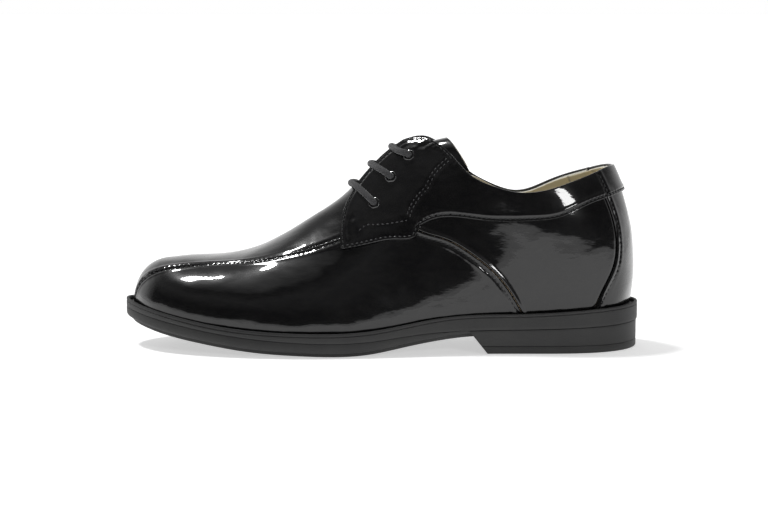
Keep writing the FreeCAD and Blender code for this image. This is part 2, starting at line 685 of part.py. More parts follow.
# ---------------------------------------------------------------- sole unit and insoles
SOLE_REACH = SOLE_LENGTH * 0.52   # slabs run past the sole's ends and are cut to its outline
BLOCK = 80.0 * SCALE              # half size of the blocks the sole pieces are cut from
TREAD_OVERLAP = 0.5 * SCALE       # the tread and the wall are one moulding
INSOLE_STATIONS = 12


def closed_wire(points):
    curve = Part.BSplineCurve()
    curve.interpolate(points, True)
    return Part.Wire([curve.toShape()])


def prism(wire):
    face = Part.Face(wire)
    solid = face.extrude(FreeCAD.Vector(0, 0, BLOCK))
    solid.translate(FreeCAD.Vector(0, 0, -BLOCK / 4))
    return solid


def inset(wire, amount, samples=64):
    """The closed outline drawn in by an amount, as one smooth closed curve."""
    edge = wire.Edges[0]
    low, high = edge.ParameterRange
    points = []
    for k in range(samples):
        parameter = low + (high - low) * k / samples
        tangent = edge.tangentAt(parameter)
        inward = FreeCAD.Vector(-tangent.y, tangent.x, 0)
        points.append(edge.valueAt(parameter) + inward * amount)
    return closed_wire(points)


def across(corners):
    """Prism across the shoe over a closed outline of (x, z) corners."""
    outline = [FreeCAD.Vector(x, -BLOCK, z) for x, z in corners]
    face = Part.Face(Part.makePolygon(outline + outline[:1]))
    return face.extrude(FreeCAD.Vector(0, 2 * BLOCK, 0))


def between(low, high, span=None, samples=30):
    """Slab across the shoe, between two heights that are functions of x, in short flats."""
    start, end = span or (-SOLE_REACH, SOLE_REACH)
    xs = [start + (end - start) * k / samples for k in range(samples + 1)]
    return across([(x, low(x)) for x in xs] + [(x, high(x)) for x in reversed(xs)])


def raised(height, amount):
    return lambda x: height(x) + amount


def level(height):
    return lambda x: height


def strip(span, width):
    """Upright block along the middle of the shoe."""
    start, end = span
    corner = FreeCAD.Vector(start, -width / 2, -BLOCK / 2)
    return Part.makeBox(end - start, width, BLOCK, corner)


def drawn_in(span, amount):
    return span[0] + amount, span[1] - amount


def midsole_and_fillings(edge):
    """The moulded rim with its well and pockets, and the two pieces that lie in the pockets."""
    seat = raised(SOLE_TOP, -RIM_HEIGHT)
    floor = raised(seat, -POCKET_DEPTH)
    above = raised(SOLE_TOP, RIM_HEIGHT)
    midsole = between(PARTING, SOLE_TOP).common(prism(edge))
    midsole = midsole.cut(between(seat, above).common(prism(inset(edge, RIM_WIDTH))))
    pocket = between(floor, above, FILLER_SPAN).common(prism(inset(edge, FILLER_INSET)))
    midsole = midsole.cut(pocket)
    midsole = midsole.cut(between(floor, above, SHANK_SPAN).common(strip(SHANK_SPAN, SHANK_WIDTH)))

    span = drawn_in(FILLER_SPAN, POCKET_CLEARANCE)
    filler = between(raised(floor, FIT_GAP), raised(seat, -FIT_GAP), span)
    span = drawn_in(SHANK_SPAN, POCKET_CLEARANCE)
    shank = between(raised(floor, FIT_GAP), raised(floor, FIT_GAP + SHANK_THICKNESS), span)
    return {
        "midsole_rand": midsole,
        "bottom_filler": filler.common(prism(inset(edge, FILLER_INSET + POCKET_CLEARANCE))),
        "shank": shank.common(strip(span, SHANK_WIDTH - 2 * POCKET_CLEARANCE)),
    }


def outsole(edge):
    """Side wall under the parting line, and the ribbed tread set in from it."""
    wall = between(WALL_FOOT, raised(PARTING, -BOND_GAP), (-SOLE_REACH, HEEL_BREAST_TOP - SCALE))
    tread = between(raised(WALL_FOOT, -TREAD_STEP), raised(WALL_FOOT, TREAD_OVERLAP),
                    (-SOLE_REACH, HEEL_BREAST_TOP - TREAD_INSET))
    solid = wall.common(prism(edge)).fuse(tread.common(prism(inset(edge, TREAD_INSET))))
    grooves = []
    for k in range(RIB_COUNT):
        x = RIB_START + k * RIB_PITCH
        roof = WALL_FOOT(x + RIB_GROOVE / 2) - TREAD_STEP + RIB_DEPTH
        grooves.append(across([(x, -BLOCK), (x + RIB_GROOVE, -BLOCK), (x + RIB_GROOVE, roof), (x, roof)]))
    return solid.cut(Part.makeCompound(grooves)).removeSplitter()


def heel(edge):
    """Heel block and its top piece, cut off by the slanting breast."""
    lean = (HEEL_BREAST_FOOT - HEEL_BREAST_TOP) / PARTING(HEEL_BREAST_TOP)
    crest = HEEL_BREAST_FOOT - lean * BLOCK
    behind = across([(HEEL_BREAST_FOOT, 0), (SOLE_REACH, 0), (SOLE_REACH, BLOCK), (crest, BLOCK)])
    outline = prism(inset(edge, HEEL_INSET)).common(behind)
    span = (HEEL_BREAST_TOP, SOLE_REACH)
    block = between(level(TOP_PIECE_THICKNESS), raised(PARTING, -BOND_GAP), span)
    piece = between(level(0.0), level(TOP_PIECE_THICKNESS - BOND_GAP), span, 2)
    return {"heel_block": block.common(outline), "heel_top_piece": piece.common(outline)}


def sole_unit():
    edge = closed_wire([FreeCAD.Vector(x * SCALE, y * SCALE, 0) for x, y in SOLE_PLAN])
    return {**midsole_and_fillings(edge), "outsole": outsole(edge), **heel(edge)}


def insoles():
    """Insole board, foam and sock, stacked on the seat inside the linings."""
    stations = [k / INSOLE_STATIONS for k in range(INSOLE_STATIONS)]
    lateral = [feather(LATERAL, s) for s in stations]
    medial = [feather(MEDIAL, s) for s in reversed(stations[1:])]
    rear = [feather(LATERAL, 1.0)]
    outline = closed_wire([FreeCAD.Vector(p.x, p.y, 0) for p in lateral + rear + medial])
    foot_room = prism(inset(outline, -LINING_INNER + INSOLE_CLEARANCE))
    seat = raised(SOLE_TOP, -RIM_HEIGHT)
    nodes = {}
    low = FIT_GAP
    for name, thickness in INSOLE_LAYERS:
        high = low + thickness
        nodes[name] = between(raised(seat, low), raised(seat, high)).common(foot_room)
        low = high + FIT_GAP
    return nodes


def main():
    os.makedirs("parts", exist_ok=True)
    nodes = {}
    for group in (sole_unit, insoles, upper_panels, inner_panels, tongue, lace):
        nodes.update(group())
    for side, name in SIDE_NAMES.items():
        nodes["eyelets_" + name] = eyelets(side)
    for name, shape in nodes.items():
        solids = shape.Solids
        state = "" if shape.isValid() and solids else "  NOT VALID"
        print("%-26s %d solid(s) %9.1f mm3%s" % (name, len(solids), shape.Volume, state))
        shape.exportStep("parts/%s.step" % name)


main()
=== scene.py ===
"""Left lace-up dress shoe in patent leather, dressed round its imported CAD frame.

The tables are in millimetres for a 240 mm sole and UNIT turns them into metres at the frame's
size.  Toe to -X, heel to +X, lateral side to -Y, floor at z = 0.  A point of the upper is a
side, s from 0 at the toe tip to 1 at the back of the heel, and t from 0 at the feather edge
to 1 at the ridge; panels and seams are laid out in (s, t) and lifted along the surface normal.
"""
import math

import bmesh
import bpy
import numpy as np
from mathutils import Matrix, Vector

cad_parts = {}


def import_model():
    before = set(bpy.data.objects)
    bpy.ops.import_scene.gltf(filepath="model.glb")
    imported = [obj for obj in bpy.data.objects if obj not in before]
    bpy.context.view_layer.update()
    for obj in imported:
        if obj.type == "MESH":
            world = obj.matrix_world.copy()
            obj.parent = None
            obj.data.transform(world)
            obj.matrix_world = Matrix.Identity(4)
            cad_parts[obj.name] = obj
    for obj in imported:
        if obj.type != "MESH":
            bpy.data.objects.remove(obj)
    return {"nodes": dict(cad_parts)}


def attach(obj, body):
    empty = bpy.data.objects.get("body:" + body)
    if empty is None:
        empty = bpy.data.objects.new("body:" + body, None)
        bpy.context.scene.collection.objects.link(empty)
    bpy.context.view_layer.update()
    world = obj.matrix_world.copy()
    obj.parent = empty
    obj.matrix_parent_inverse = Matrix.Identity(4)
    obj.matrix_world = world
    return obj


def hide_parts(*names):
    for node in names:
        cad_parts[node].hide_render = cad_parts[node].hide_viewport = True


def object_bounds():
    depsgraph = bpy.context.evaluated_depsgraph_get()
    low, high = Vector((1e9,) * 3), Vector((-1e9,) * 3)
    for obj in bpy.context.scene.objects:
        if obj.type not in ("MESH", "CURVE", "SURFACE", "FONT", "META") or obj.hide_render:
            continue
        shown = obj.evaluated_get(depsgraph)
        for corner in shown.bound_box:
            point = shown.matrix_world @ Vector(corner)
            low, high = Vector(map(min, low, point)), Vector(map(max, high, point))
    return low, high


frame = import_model()
CAD_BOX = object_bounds()

TABLE_LENGTH = 240.16             # length of the sole that the tables below give
UNIT = (CAD_BOX[1].x - CAD_BOX[0].x) / TABLE_LENGTH
LATERAL = -1
MEDIAL = 1
SIDES = {LATERAL: "lateral", MEDIAL: "medial"}
SHOE = "shoe"
TONGUE = "tongue"


# ---- curves
def spline(xs, ys, clamped=False):
    """Cubic spline through the points, as a function of arrays; clamped means level at its ends."""
    xs = np.asarray(xs, float)
    ys = np.asarray(ys, float)
    n = len(xs)
    h = np.diff(xs)
    slope = np.diff(ys) / h
    matrix = np.eye(n)
    right = np.zeros(n)
    for i in range(1, n - 1):
        matrix[i, i - 1:i + 2] = h[i - 1], 2 * (h[i - 1] + h[i]), h[i]
        right[i] = 6 * (slope[i] - slope[i - 1])
    if clamped:
        matrix[0, :2] = 2 * h[0], h[0]
        right[0] = 6 * slope[0]
        matrix[-1, -2:] = h[-1], 2 * h[-1]
        right[-1] = -6 * slope[-1]
    bend = np.linalg.solve(matrix, right)

    def value(x):
        x = np.asarray(x, float)
        i = np.clip(np.searchsorted(xs, x) - 1, 0, n - 2)
        after = x - xs[i]
        before = xs[i + 1] - x
        cubic = (bend[i] * before ** 3 + bend[i + 1] * after ** 3) / (6 * h[i])
        left = (ys[i] / h[i] - bend[i] * h[i] / 6) * before
        return cubic + left + (ys[i + 1] / h[i] - bend[i + 1] * h[i] / 6) * after

    return value


def through(pairs):
    """Free spline through (x, z) pairs."""
    return spline([x for x, _ in pairs], [z for _, z in pairs])


def smooth(value):
    """Smooth step from 0 to 1."""
    value = np.clip(value, 0, 1)
    return value * value * (3 - 2 * value)


def bump(distance, width):
    """Bell curve: 1 at distance 0, and gone after about twice the width."""
    return np.exp(-(distance / width) ** 2)


def reach_of(points):
    """Length along a line of points, at each of them."""
    return np.concatenate([[0], np.cumsum(np.linalg.norm(np.diff(points, axis=0), axis=1))])


S_WEIGHT = 3                      # a step in s goes about three times as far as one in t


def seam(points):
    """Smooth curve through (s, t) points; its own parameter runs from 0 to 1."""
    points = np.array(points, float)
    steps = np.hypot(S_WEIGHT * np.diff(points[:, 0]), np.diff(points[:, 1]))
    reach = np.concatenate([[0], np.cumsum(steps)]) / steps.sum()
    s_of = spline(reach, points[:, 0])
    t_of = spline(reach, points[:, 1])
    return lambda a: (s_of(a), t_of(a))


def shifted(curve, ds, dt):
    """The curve moved in s and t."""
    return lambda a: (curve(a)[0] + ds, curve(a)[1] + dt)


def part_of(curve, start, end):
    """The stretch of a curve between two of its parameters."""
    return lambda a: curve(start + (end - start) * a)


def straight(start, end):
    """Straight (s, t) line between two points."""
    return lambda a: (start[0] + (end[0] - start[0]) * a, start[1] + (end[1] - start[1]) * a)


# ---- sole heights and outline
SOLE_TOP = through([(-120, 22.3), (-100, 18.3), (-80, 14.7), (-58, 12.2), (-36, 11.2), (-5, 11.9),
                    (10, 14.2), (26, 16.9), (42, 18.2), (65, 18.6), (97, 20.3), (120, 21.4)])
PARTING = through([(-120, 18.2), (-100, 14.6), (-81, 11.4), (-58, 8.5), (-36, 6.9), (-5, 7.1),
                   (10, 8.9), (26, 10.4), (40, 10.9), (65, 11.3), (120, 12.9)])
WALL_FOOT = through([(-120, 14.2), (-100, 9.9), (-81, 6.8), (-58, 3.8), (-36, 2.45), (-5, 2.8),
                     (10, 5.5), (26, 8.2), (40, 9.7), (60, 9.9)])
TREAD_STEP = float(WALL_FOOT(np.arange(-60, 10)).min())
SOLE_PLAN = [(-120, 3), (-112.5, -15), (-99, -27.5), (-80, -36.5), (-60, -41.7), (-38, -43.8),
             (-18, -42.8), (5, -38.8), (28, -33.8), (52, -31.3), (78, -31.3), (98, -28.5),
             (113, -18.5), (120, 0), (113, 18.5), (98, 28.5), (78, 30.3), (52, 28.3), (28, 28.5),
             (5, 33.5), (-18, 39.2), (-38, 42.3), (-60, 41.6), (-80, 37.2), (-99, 29.5),
             (-112.5, 19.5)]
RIM_HEIGHT = 1.8
RIM_WIDTH = 1.4
FEATHER_DROP = 1.6
HEEL_BREAST_TOP = 40.0
HEEL_BREAST_FOOT = 48.6
HEEL_INSET = 0.5
BREAST_GAP = 0.05                 # the outsole ends flush against the heel's front face
TOP_PIECE = 3.6
TREAD_INSET = 3.0
RIB_COUNT = 12
RIB_START = -108.0
RIB_PITCH = 8.5
RIB_GROOVE = 2.6
RIB_DEPTH = 1.0
RIB_DRAFT = 0.3
RIB_BELOW = -30.0                 # the cutters start well under the tread
RIB_MARGIN = 6.0
RIB_REACH = 3.0                   # how near the outline's points count as beside a rib
POCKET_INSET = 11.6
POCKET_DEPTH = 1.6

# ---- the leather surface
STATION_COUNT = 13
STATIONS = np.arange(STATION_COUNT + 1) / STATION_COUNT


def along_shoe(values):
    """Spline through one value for each station."""
    return spline(STATIONS, values, clamped=True)


FEATHER_X = along_shoe([-116.2, -113.2, -104.5, -90, -70, -47, -22, 4, 30, 58, 84, 104, 113, 116.3])
FEATHER_Y = {
    LATERAL: spline(STATIONS, (3, -9.4, -21.3, -30.3, -36.6, -39.9, -39.6, -35.8,
                               -31, -28.3, -28, -22.5, -12.8, 0)),
    MEDIAL: spline(STATIONS, (3, 14.1, 24.6, 32.0, 37.6, 38.8, 36, 30,
                              25.5, 25.8, 27.2, 22.5, 12.8, 0)),
}
RIDGE_XZ = [(-98, 41.2), (-97.5, 41.2), (-94.5, 41.5), (-87, 42), (-73, 42.7), (-55, 47.3),
            (-36, 58), (-17, 71), (1, 88.6), (22, 100), (47, 103), (72, 101.5), (87, 100.3),
            (92, 100)]
RIDGE_X = along_shoe([x for x, _ in RIDGE_XZ])
RIDGE_Z = along_shoe([z for _, z in RIDGE_XZ])
RIDGE_HEIGHT = through(RIDGE_XZ[1:])
RIDGE_Y = through([(-120, 3), (-60, 1.5), (0, 0), (60, 0), (120, 0)])
WALL_OUT = along_shoe([1.2, 1.2, 1.5, 1.8, 2.2, 2.4, 2.2, 2.0, 2.0, 2.5, 3.0, 3.6, 4.2, 4.4])
WALL_UP = along_shoe([.33, .33, .33, .33, .33, .30, .26, .24, .22, .22, .22, .24, .25, .25])
CHEST_OUT = along_shoe([-3, -3, -3.2, -4, -5.5, -8, -9.5, -9, -7, -3, 0, 2, 3, 3.2])
CHEST_UP = along_shoe([.80, .80, .80, .82, .84, .80, .72, .66, .60, .58, .58, .58, .58, .58])
CROWN_REACH = along_shoe([9, 9, 10, 12, 16, 16, 14, 14, 15, 19, 26, 22, 14, 12])
WALL_IN = 0.12                    # how far the wall and chest move in towards the ridge
CHEST_IN = 0.45
TIP_TURN = 3 / STATION_COUNT      # the ends, where the sections swing round to the middle plane
BINOMIAL = (1, 4, 6, 4, 1)
STEP = 0.002                      # in s or t, for slopes of the surface
MIDDLE_BAND = 0.03


def vectors(x, y, z):
    """Points from arrays of x, y and z."""
    return np.stack(np.broadcast_arrays(x, y, z), axis=-1).astype(float)


def unit(v):
    """Vectors made one long."""
    return v / np.linalg.norm(v, axis=-1, keepdims=True)


def feather_y(side, s):
    """Edge of the leather at the sole, on either side."""
    return np.where(side < 0, FEATHER_Y[LATERAL](s), FEATHER_Y[MEDIAL](s))


def ridge_slope(x):
    """Slope of the ridge over a millimetre round x."""
    x = np.clip(x, RIDGE_XZ[1][0] + 0.5, RIDGE_XZ[-1][0] - 0.5)
    return RIDGE_HEIGHT(x + 0.5) - RIDGE_HEIGHT(x - 0.5)


def surface(side, s, t):
    """Points of the outer face of the leather, for arrays of side, s and t."""
    side, s, t = np.broadcast_arrays(side, s, t)
    x = FEATHER_X(s)
    foot = vectors(x, feather_y(side, s), SOLE_TOP(x) - FEATHER_DROP)
    before = np.maximum(0, s - STEP / 2)
    after = np.minimum(1, s + STEP / 2)
    dx = FEATHER_X(after) - FEATHER_X(before)
    dy = feather_y(side, after) - feather_y(side, before)
    out = unit(vectors(-side * dy, side * dx, 0 * s))
    ridge = vectors(RIDGE_X(s), RIDGE_Y(RIDGE_X(s)), RIDGE_Z(s))
    height = ridge[..., 2] - foot[..., 2]
    level = (ridge - foot) * (1, 1, 0)
    sideways = level - out * (level * out).sum(-1, keepdims=True)
    wall = foot + out * WALL_OUT(s)[..., None] + sideways * WALL_IN
    wall[..., 2] = foot[..., 2] + height * WALL_UP(s)
    chest = foot + out * CHEST_OUT(s)[..., None] + sideways * CHEST_IN
    chest[..., 2] = foot[..., 2] + height * CHEST_UP(s)
    turn = np.sin(np.minimum(np.minimum(s, 1 - s), TIP_TURN) / TIP_TURN * math.pi / 2) * math.pi / 2
    tangent = unit(vectors(1 + 0 * s, 0 * s, ridge_slope(ridge[..., 0])))
    tangent = tangent * np.where(s < 0.5, -1, 1)[..., None]
    lean = tangent * np.cos(turn)[..., None] + vectors(0 * s, side * np.sin(turn), 0 * s)
    crown = ridge + lean * CROWN_REACH(s)[..., None]
    total = 0
    for i, point in enumerate((foot, wall, chest, crown, ridge)):
        total = total + point * (BINOMIAL[i] * t ** i * (1 - t) ** (4 - i))[..., None]
    return total


def rise(side, s, t):
    """How the surface moves as t grows."""
    return surface(side, s, np.minimum(1, t + STEP)) - surface(side, s, np.maximum(0, t - STEP))


def outward(side, s, t):
    """Unit normals; on the middle line they lie in the middle plane, and blend in beside it."""
    side, s, t = np.broadcast_arrays(side, s, t)
    s_out = np.clip(s, MIDDLE_BAND, 1 - MIDDLE_BAND)
    t_out = np.minimum(t, 1 - MIDDLE_BAND)
    along = surface(side, s_out + STEP, t_out) - surface(side, s_out - STEP, t_out)
    normal = unit(np.cross(along, rise(side, s_out, t_out)) * -side[..., None])
    slope = ridge_slope(RIDGE_X(s))
    over = vectors(-slope, 0 * s, 1 + 0 * s)
    up = rise(side, np.round(s), t)
    end = vectors(up[..., 2], 0 * s, -up[..., 0]) * np.where(s > 0.5, 1, -1)[..., None]
    near = np.minimum(np.minimum(s, 1 - s), 1 - t)
    middle = unit(np.where((near == 1 - t)[..., None], over, end))
    share = np.clip(near / MIDDLE_BAND, 0, 1)[..., None]
    return unit(normal * share + middle * (1 - share))


# ---- patches of the surface
def four_sided(side, left, right, bottom, top):
    """Patch inside four (s, t) curves; left and right run upwards, bottom and top run back."""
    def place(a, b):
        point = []
        for k in (0, 1):
            across = (1 - a) * left(b)[k] + a * right(b)[k]
            upward = (1 - b) * bottom(a)[k] + b * top(a)[k]
            corners = ((1 - a) * (1 - b) * bottom(0)[k] + a * (1 - b) * bottom(1)[k]
                       + (1 - a) * b * top(0)[k] + a * b * top(1)[k])
            point.append(across + upward - corners)
        return side + 0 * point[0], point[0], point[1]
    return place


RIDGE_EASE = 0.6
VAMP_CORNER = 0.23
PUFF_CORNER = 0.78


def over_toe(edge, end, corner=VAMP_CORNER):
    """Patch over the toe and instep: b runs from the lateral edge over the ridge to the medial."""
    def place(a, b):
        ahead = a < corner
        back = np.maximum(0, (a - corner) / (1 - corner)) ** RIDGE_EASE * end
        middle_s = np.where(ahead, 0, back)
        middle_t = np.where(ahead, a / corner, 1)
        away = abs(2 * b - 1)
        s_edge, t_edge = edge(a)
        side = np.where(b < 0.5, LATERAL, MEDIAL)
        return side, middle_s + (s_edge - middle_s) * away, middle_t + (t_edge - middle_t) * away
    return place


def over_ridge(start, end, edge_t):
    """Patch across the ridge between two stations; edge_t(s) is its lower edge on each side."""
    def place(a, b):
        s = start + (end - start) * a
        return np.where(b < 0.5, LATERAL, MEDIAL), s, 1 - abs(2 * b - 1) * (1 - edge_t(s))
    return place


def round_heel(front, bottom, top):
    """Patch round the back of the heel: a runs from the lateral seam to the medial one."""
    def place(a, b):
        away = abs(2 * a - 1)
        s_front, t_front = front(b)
        share_front = (t_front - bottom(s_front)) / (top(s_front) - bottom(s_front))
        share = b + (share_front - b) * away
        s = 1 + (s_front - 1) * away
        return np.where(a < 0.5, LATERAL, MEDIAL), s, bottom(s) + (top(s) - bottom(s)) * share
    return place


GAP = 0.0006                      # between panels that meet edge to edge, in s or t
TRAMLINE = seam([(.045, 0), (.058, .20), (.083, .40), (.14, .575), (.21, .665), (.30, .72),
                 (.39, .67), (.45, .625), (.505, .612), (.556, .60)])
TRAMLINE_KNEE = 0.30
VAMP_TOP = seam([(.556, .60), (.580, .572), (.604, .52)])
VAMP_TOP_SHARE = 0.16
WAIST_SEAM = seam([(.712, 0), (.705, .12), (.696, .205), (.682, .28), (.665, .345),
                   (.646, .40), (.617, .463), (.604, .52)])
COUNTER_SEAM = seam([(.815, 0), (.838, .115), (.858, .19), (.874, .26), (.885, .345),
                     (.889, .43), (.889, .56)])
FACING_FRONT = seam([(.500, .544), (.506, .63), (.520, .74), (.545, .845), (.585, .905),
                     (.625, .925), (.655, .93)])
FACING_TOP = seam([(.655, .93), (.678, .90), (.693, .84), (.704, .77), (.709, .712)])
FACING_FOOT = seam([(.500, .544), (.538, .516), (.577, .478), (.606, .452), (.619, .487)])
FACING_REAR = straight((.619, .487), (.709, .712))
FACING_SHARE = 0.29
BAND_FOOT = seam([(.619, .487), (.640, .494), (.704, .452), (.765, .438),
                  (.80, .446), (.854, .505), (.889, .53)])
TOPLINE = seam([(.709, .712), (.722, .625), (.740, .586), (.768, .556), (.792, .557),
                (.825, .584), (.855, .617), (.889, .650)])
TAB_FRONT = 0.889
TAB_SEAM = straight((TAB_FRONT, .53), (TAB_FRONT, .650))
HEEL_TOPLINE = spline([.85, TAB_FRONT, .93, 1.0], [.612, .650, .675, .685])
HEEL_BAND_FOOT = spline([TAB_FRONT, .94, 1.0], [.53, .548, .555])
LAP = 0.03                        # how far a panel reaches under the one laid over it
MEDIAL_DIP = 0.035
MEDIAL_DIP_AT = 0.765
MEDIAL_DIP_WIDTH = 0.045
QUARTER_TOP = seam([(.604, .52), (.640, .524), (.704, .482), (.765, .468), (.80, .476),
                    (.854, .535), (.889, .56)])
STRAP_ROW = seam([(.700, .719), (.688, .700), (.665, .656), (.654, .625), (.638, .600),
                  (.627, .581), (.615, .550), (.608, .525)])
STRAP_FOOT_ROW = seam([(.608, .525), (.588, .544), (.562, .581), (.546, .606), (.531, .594)])
VAMP_LINING_FOOT = straight((.03, 0), (.60, 0))
VAMP_LINING_END = 0.548
LINING_FRONT = straight((.603, 0), (.572, .60))
UNDER_TOPLINE = [(.66, .60), (.70, .635), (.722, .618), (.740, .582), (.768, .552),
                 (.792, .553), (.825, .58), (.85, .608)]
LINING_TOP = seam([(.572, .60), (.592, .56), (.62, .55)] + UNDER_TOPLINE)
LINING_REAR = straight((.85, 0), (.85, .608))
HEEL_LINING_FRONT = straight((.853, 0), (.853, .610))
PADDING_FOOT = seam([(.645, .535), (.704, .497), (.765, .483), (.80, .491), (.85, .545),
                     (.887, .575)])
PADDING_TOP = seam(UNDER_TOPLINE + [(.887, .645)])
EYELETS = [(.573, .688), (.612, .756), (.650, .812)]
BAR_TACKS = [(.677, .831), (.538, .688)]
VAMP_END = 0.556
TONGUE_START = 0.549
TONGUE_END = 0.718
TONGUE_EDGE = spline([TONGUE_START, .62, TONGUE_END], [.76, .745, .67])

# offsets from the leather surface, outwards
LEATHER = 1.2
LAYER_GAP = 0.08
STAY_OUTER = -1.28
STAY_INNER = -2.08
LINING_OUTER = -2.16
LINING_INNER = -2.96
PADDING_OUTER = -0.1
FACING_LIFT = 0.55                # the facing stands proud of the vamp that it overlaps
FACING_LINING = 0.45
TONGUE_OUTER = -4.5
TONGUE_INNER = -5.5
TONGUE_LINING_INNER = -6.53


def overlay_inner(s, t):
    """Inner face of the panels laid over others: raised over the facing only."""
    return LAYER_GAP + FACING_LIFT * smooth((0.715 - s) / 0.05) * smooth((t - .45) / .12)


def overlay_outer(s, t):
    """Outer face of the same panels."""
    return overlay_inner(s, t) + LEATHER


def facing_lining_outer(s, t):
    """Faces of the lining under the facing."""
    return overlay_inner(s, t) - LAYER_GAP


def facing_lining_inner(s, t):
    return facing_lining_outer(s, t) - FACING_LINING


def offset_curve(side, s, t, distance):
    """The (s, t) curve moved over the surface by a distance in mm, to the left of its travel
    as seen from outside on the lateral side, and mirrored on the medial."""
    points = surface(side, s, t)
    along = unit(np.gradient(points, axis=0))
    left = np.cross(outward(side, s, t), along) * -side
    by_s = (surface(side, s + STEP, t) - surface(side, s - STEP, t)) / (2 * STEP)
    by_t = (surface(side, s, t + STEP) - surface(side, s, t - STEP)) / (2 * STEP)
    move = left * distance
    a, b, c = (by_s * by_s).sum(-1), (by_s * by_t).sum(-1), (by_t * by_t).sum(-1)
    u, v = (by_s * move).sum(-1), (by_t * move).sum(-1)
    under = a * c - b * b
    return s + (u * c - v * b) / under, t + (v * a - u * b) / under


# ---- meshes
SHARP_ANGLE = math.radians(38)
WELD = 0.002                      # points closer than this are merged


def linked(name, data):
    """New object in the scene."""
    obj = bpy.data.objects.new(name, data)
    bpy.context.scene.collection.objects.link(obj)
    return obj


def finish_mesh(name, mesh, material, body=SHOE):
    """Consistent normals, smooth faces with sharp creases, then the piece goes on its body.

    A piece whose material has a slot replaces the CAD node of its own name.
    """
    work = bmesh.new()
    work.from_mesh(mesh)
    bmesh.ops.remove_doubles(work, verts=work.verts, dist=UNIT * WELD)
    bmesh.ops.recalc_face_normals(work, faces=work.faces)
    for face in work.faces:
        face.smooth = True
    for edge in work.edges:
        if len(edge.link_faces) == 2 and edge.calc_face_angle(0) > SHARP_ANGLE:
            edge.smooth = False
    work.to_mesh(mesh)
    work.free()
    obj = linked(name, mesh)
    mesh.materials.append(material)
    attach(obj, body)
    if material in SLOT_OF:
        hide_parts(name)
    return obj


def mesh_of(name, points, faces):
    """Mesh from points in mm."""
    mesh = bpy.data.meshes.new(name)
    mesh.from_pydata((np.asarray(points) * UNIT).tolist(), [], faces)
    return mesh


def joined(parts):
    """Points and faces of several (points, faces) parts taken together."""
    points = []
    faces = []
    start = 0
    for part_points, part_faces in parts:
        points.append(part_points)
        faces += [[start + i for i in face] for face in part_faces]
        start += len(part_points)
    return np.concatenate(points), faces


def grid_faces(rows, columns, start=0, closed=False):
    """Quads of a grid of points numbered row by row; closed joins the last column to the first."""
    i, j = np.meshgrid(np.arange(rows - 1), np.arange(columns if closed else columns - 1),
                       indexing="ij")
    ahead = (j + 1) % columns
    quads = np.stack([i * columns + j, (i + 1) * columns + j, (i + 1) * columns + ahead,
                      i * columns + ahead], axis=-1)
    return (quads.reshape(-1, 4) + start).tolist()


EDGE_STEPS = np.array([0, .10, .28, .55])    # distance from a panel's edge to its nearest rows
EDGE_DROP = np.array([.46, .20, .055, 0])    # how far the edge is rounded down there
THIN_DROP = 0.35 * EDGE_DROP                 # for a lining
LEAST_THICKNESS = 0.08
PATCH_PROBES = 60                 # points along a patch that its length is measured with
FINE_CELL = 0.6                   # between the points of a panel's mesh
SIDE_CELL = 0.75
FACE_CELL = 0.8
TONGUE_LINING_CELL = 1.0
LINING_CELL = 1.2
PADDING_CELL = 1.5
STAY_CELL = 2.0


def stations(length, cell):
    """Parameters from 0 to 1, even but for the rows of the rounded edges."""
    edge = EDGE_STEPS / max(length, 6 * EDGE_STEPS[-1])
    count = max(3, round(length / cell))
    inside = np.linspace(edge[-1], 1 - edge[-1], count)[1:-1]
    return np.concatenate([edge, inside, 1 - edge[::-1]])


def drop_along(count, drop):
    """Edge rounding of a panel's rows, at both ends of them."""
    fall = np.zeros(count)
    fall[:len(drop)] = drop
    fall[-len(drop):] = drop[::-1]
    return fall


def shell(name, place, cell, inner, outer, material, body=SHOE, relief=None, drop=EDGE_DROP):
    """Closed leather panel with rounded edges over a patch, thickness between two offsets."""
    line = np.linspace(0, 1, PATCH_PROBES)
    middle = 0.5 + 0 * line
    a = stations(reach_of(surface(*place(line, middle)))[-1], cell)
    b = stations(reach_of(surface(*place(middle, line)))[-1], cell)
    side, s, t = place(*np.meshgrid(a, b, indexing="ij"))
    base = surface(side, s, t)
    normal = outward(side, s, t)
    high = outer(s, t) if callable(outer) else np.full(s.shape, float(outer))
    low = inner(s, t) if callable(inner) else np.full(s.shape, float(inner))
    high = high - np.maximum.outer(drop_along(len(a), drop), drop_along(len(b), drop))
    if relief:
        high = high + relief(base)
    high = np.maximum(high, low + LEAST_THICKNESS)
    rows, columns = s.shape
    points = np.concatenate([(base + normal * offset[..., None]).reshape(-1, 3)
                             for offset in (high, low)])
    count = rows * columns
    faces = grid_faces(rows, columns) + [f[::-1] for f in grid_faces(rows, columns, count)]
    index = np.arange(count).reshape(rows, columns)
    rim = np.concatenate([index[0, :-1], index[:-1, -1], index[-1, :0:-1], index[:0:-1, 0]])
    for here, there in zip(rim.tolist(), np.roll(rim, -1).tolist()):
        faces.append([here, there, there + count, here + count])
    return finish_mesh(name, mesh_of(name, points, faces), material, body)


# ---- relief pressed in the leather
STITCH_PITCH = 2.2
PIT_DEPTH = 0.34
PIT_WIDTH = 0.55
PIT_GROOVE = 0.62                 # share of the depth that runs on from stitch to stitch
ROLL_HEIGHT = 0.17                # the leather swells into a roll on each side of a row
ROLL_WIDTH = 0.75
ROLL_AT = 1.35                    # distance of the roll's crest from the row
DRAW_HEIGHT = 0.035               # faint ripples where the thread draws the leather in
DRAW_LENGTH = 5.3                 # from one ripple to the next
DRAW_DRIFT = 0.31                 # radians per mm; it makes that spacing uneven
DRAW_REACH = 3.0                  # distance over which the ripples fade
LINE = np.linspace(0, 1, 240)     # where seams are read
CHUNK = 3000                      # points handled at once, to bound the memory


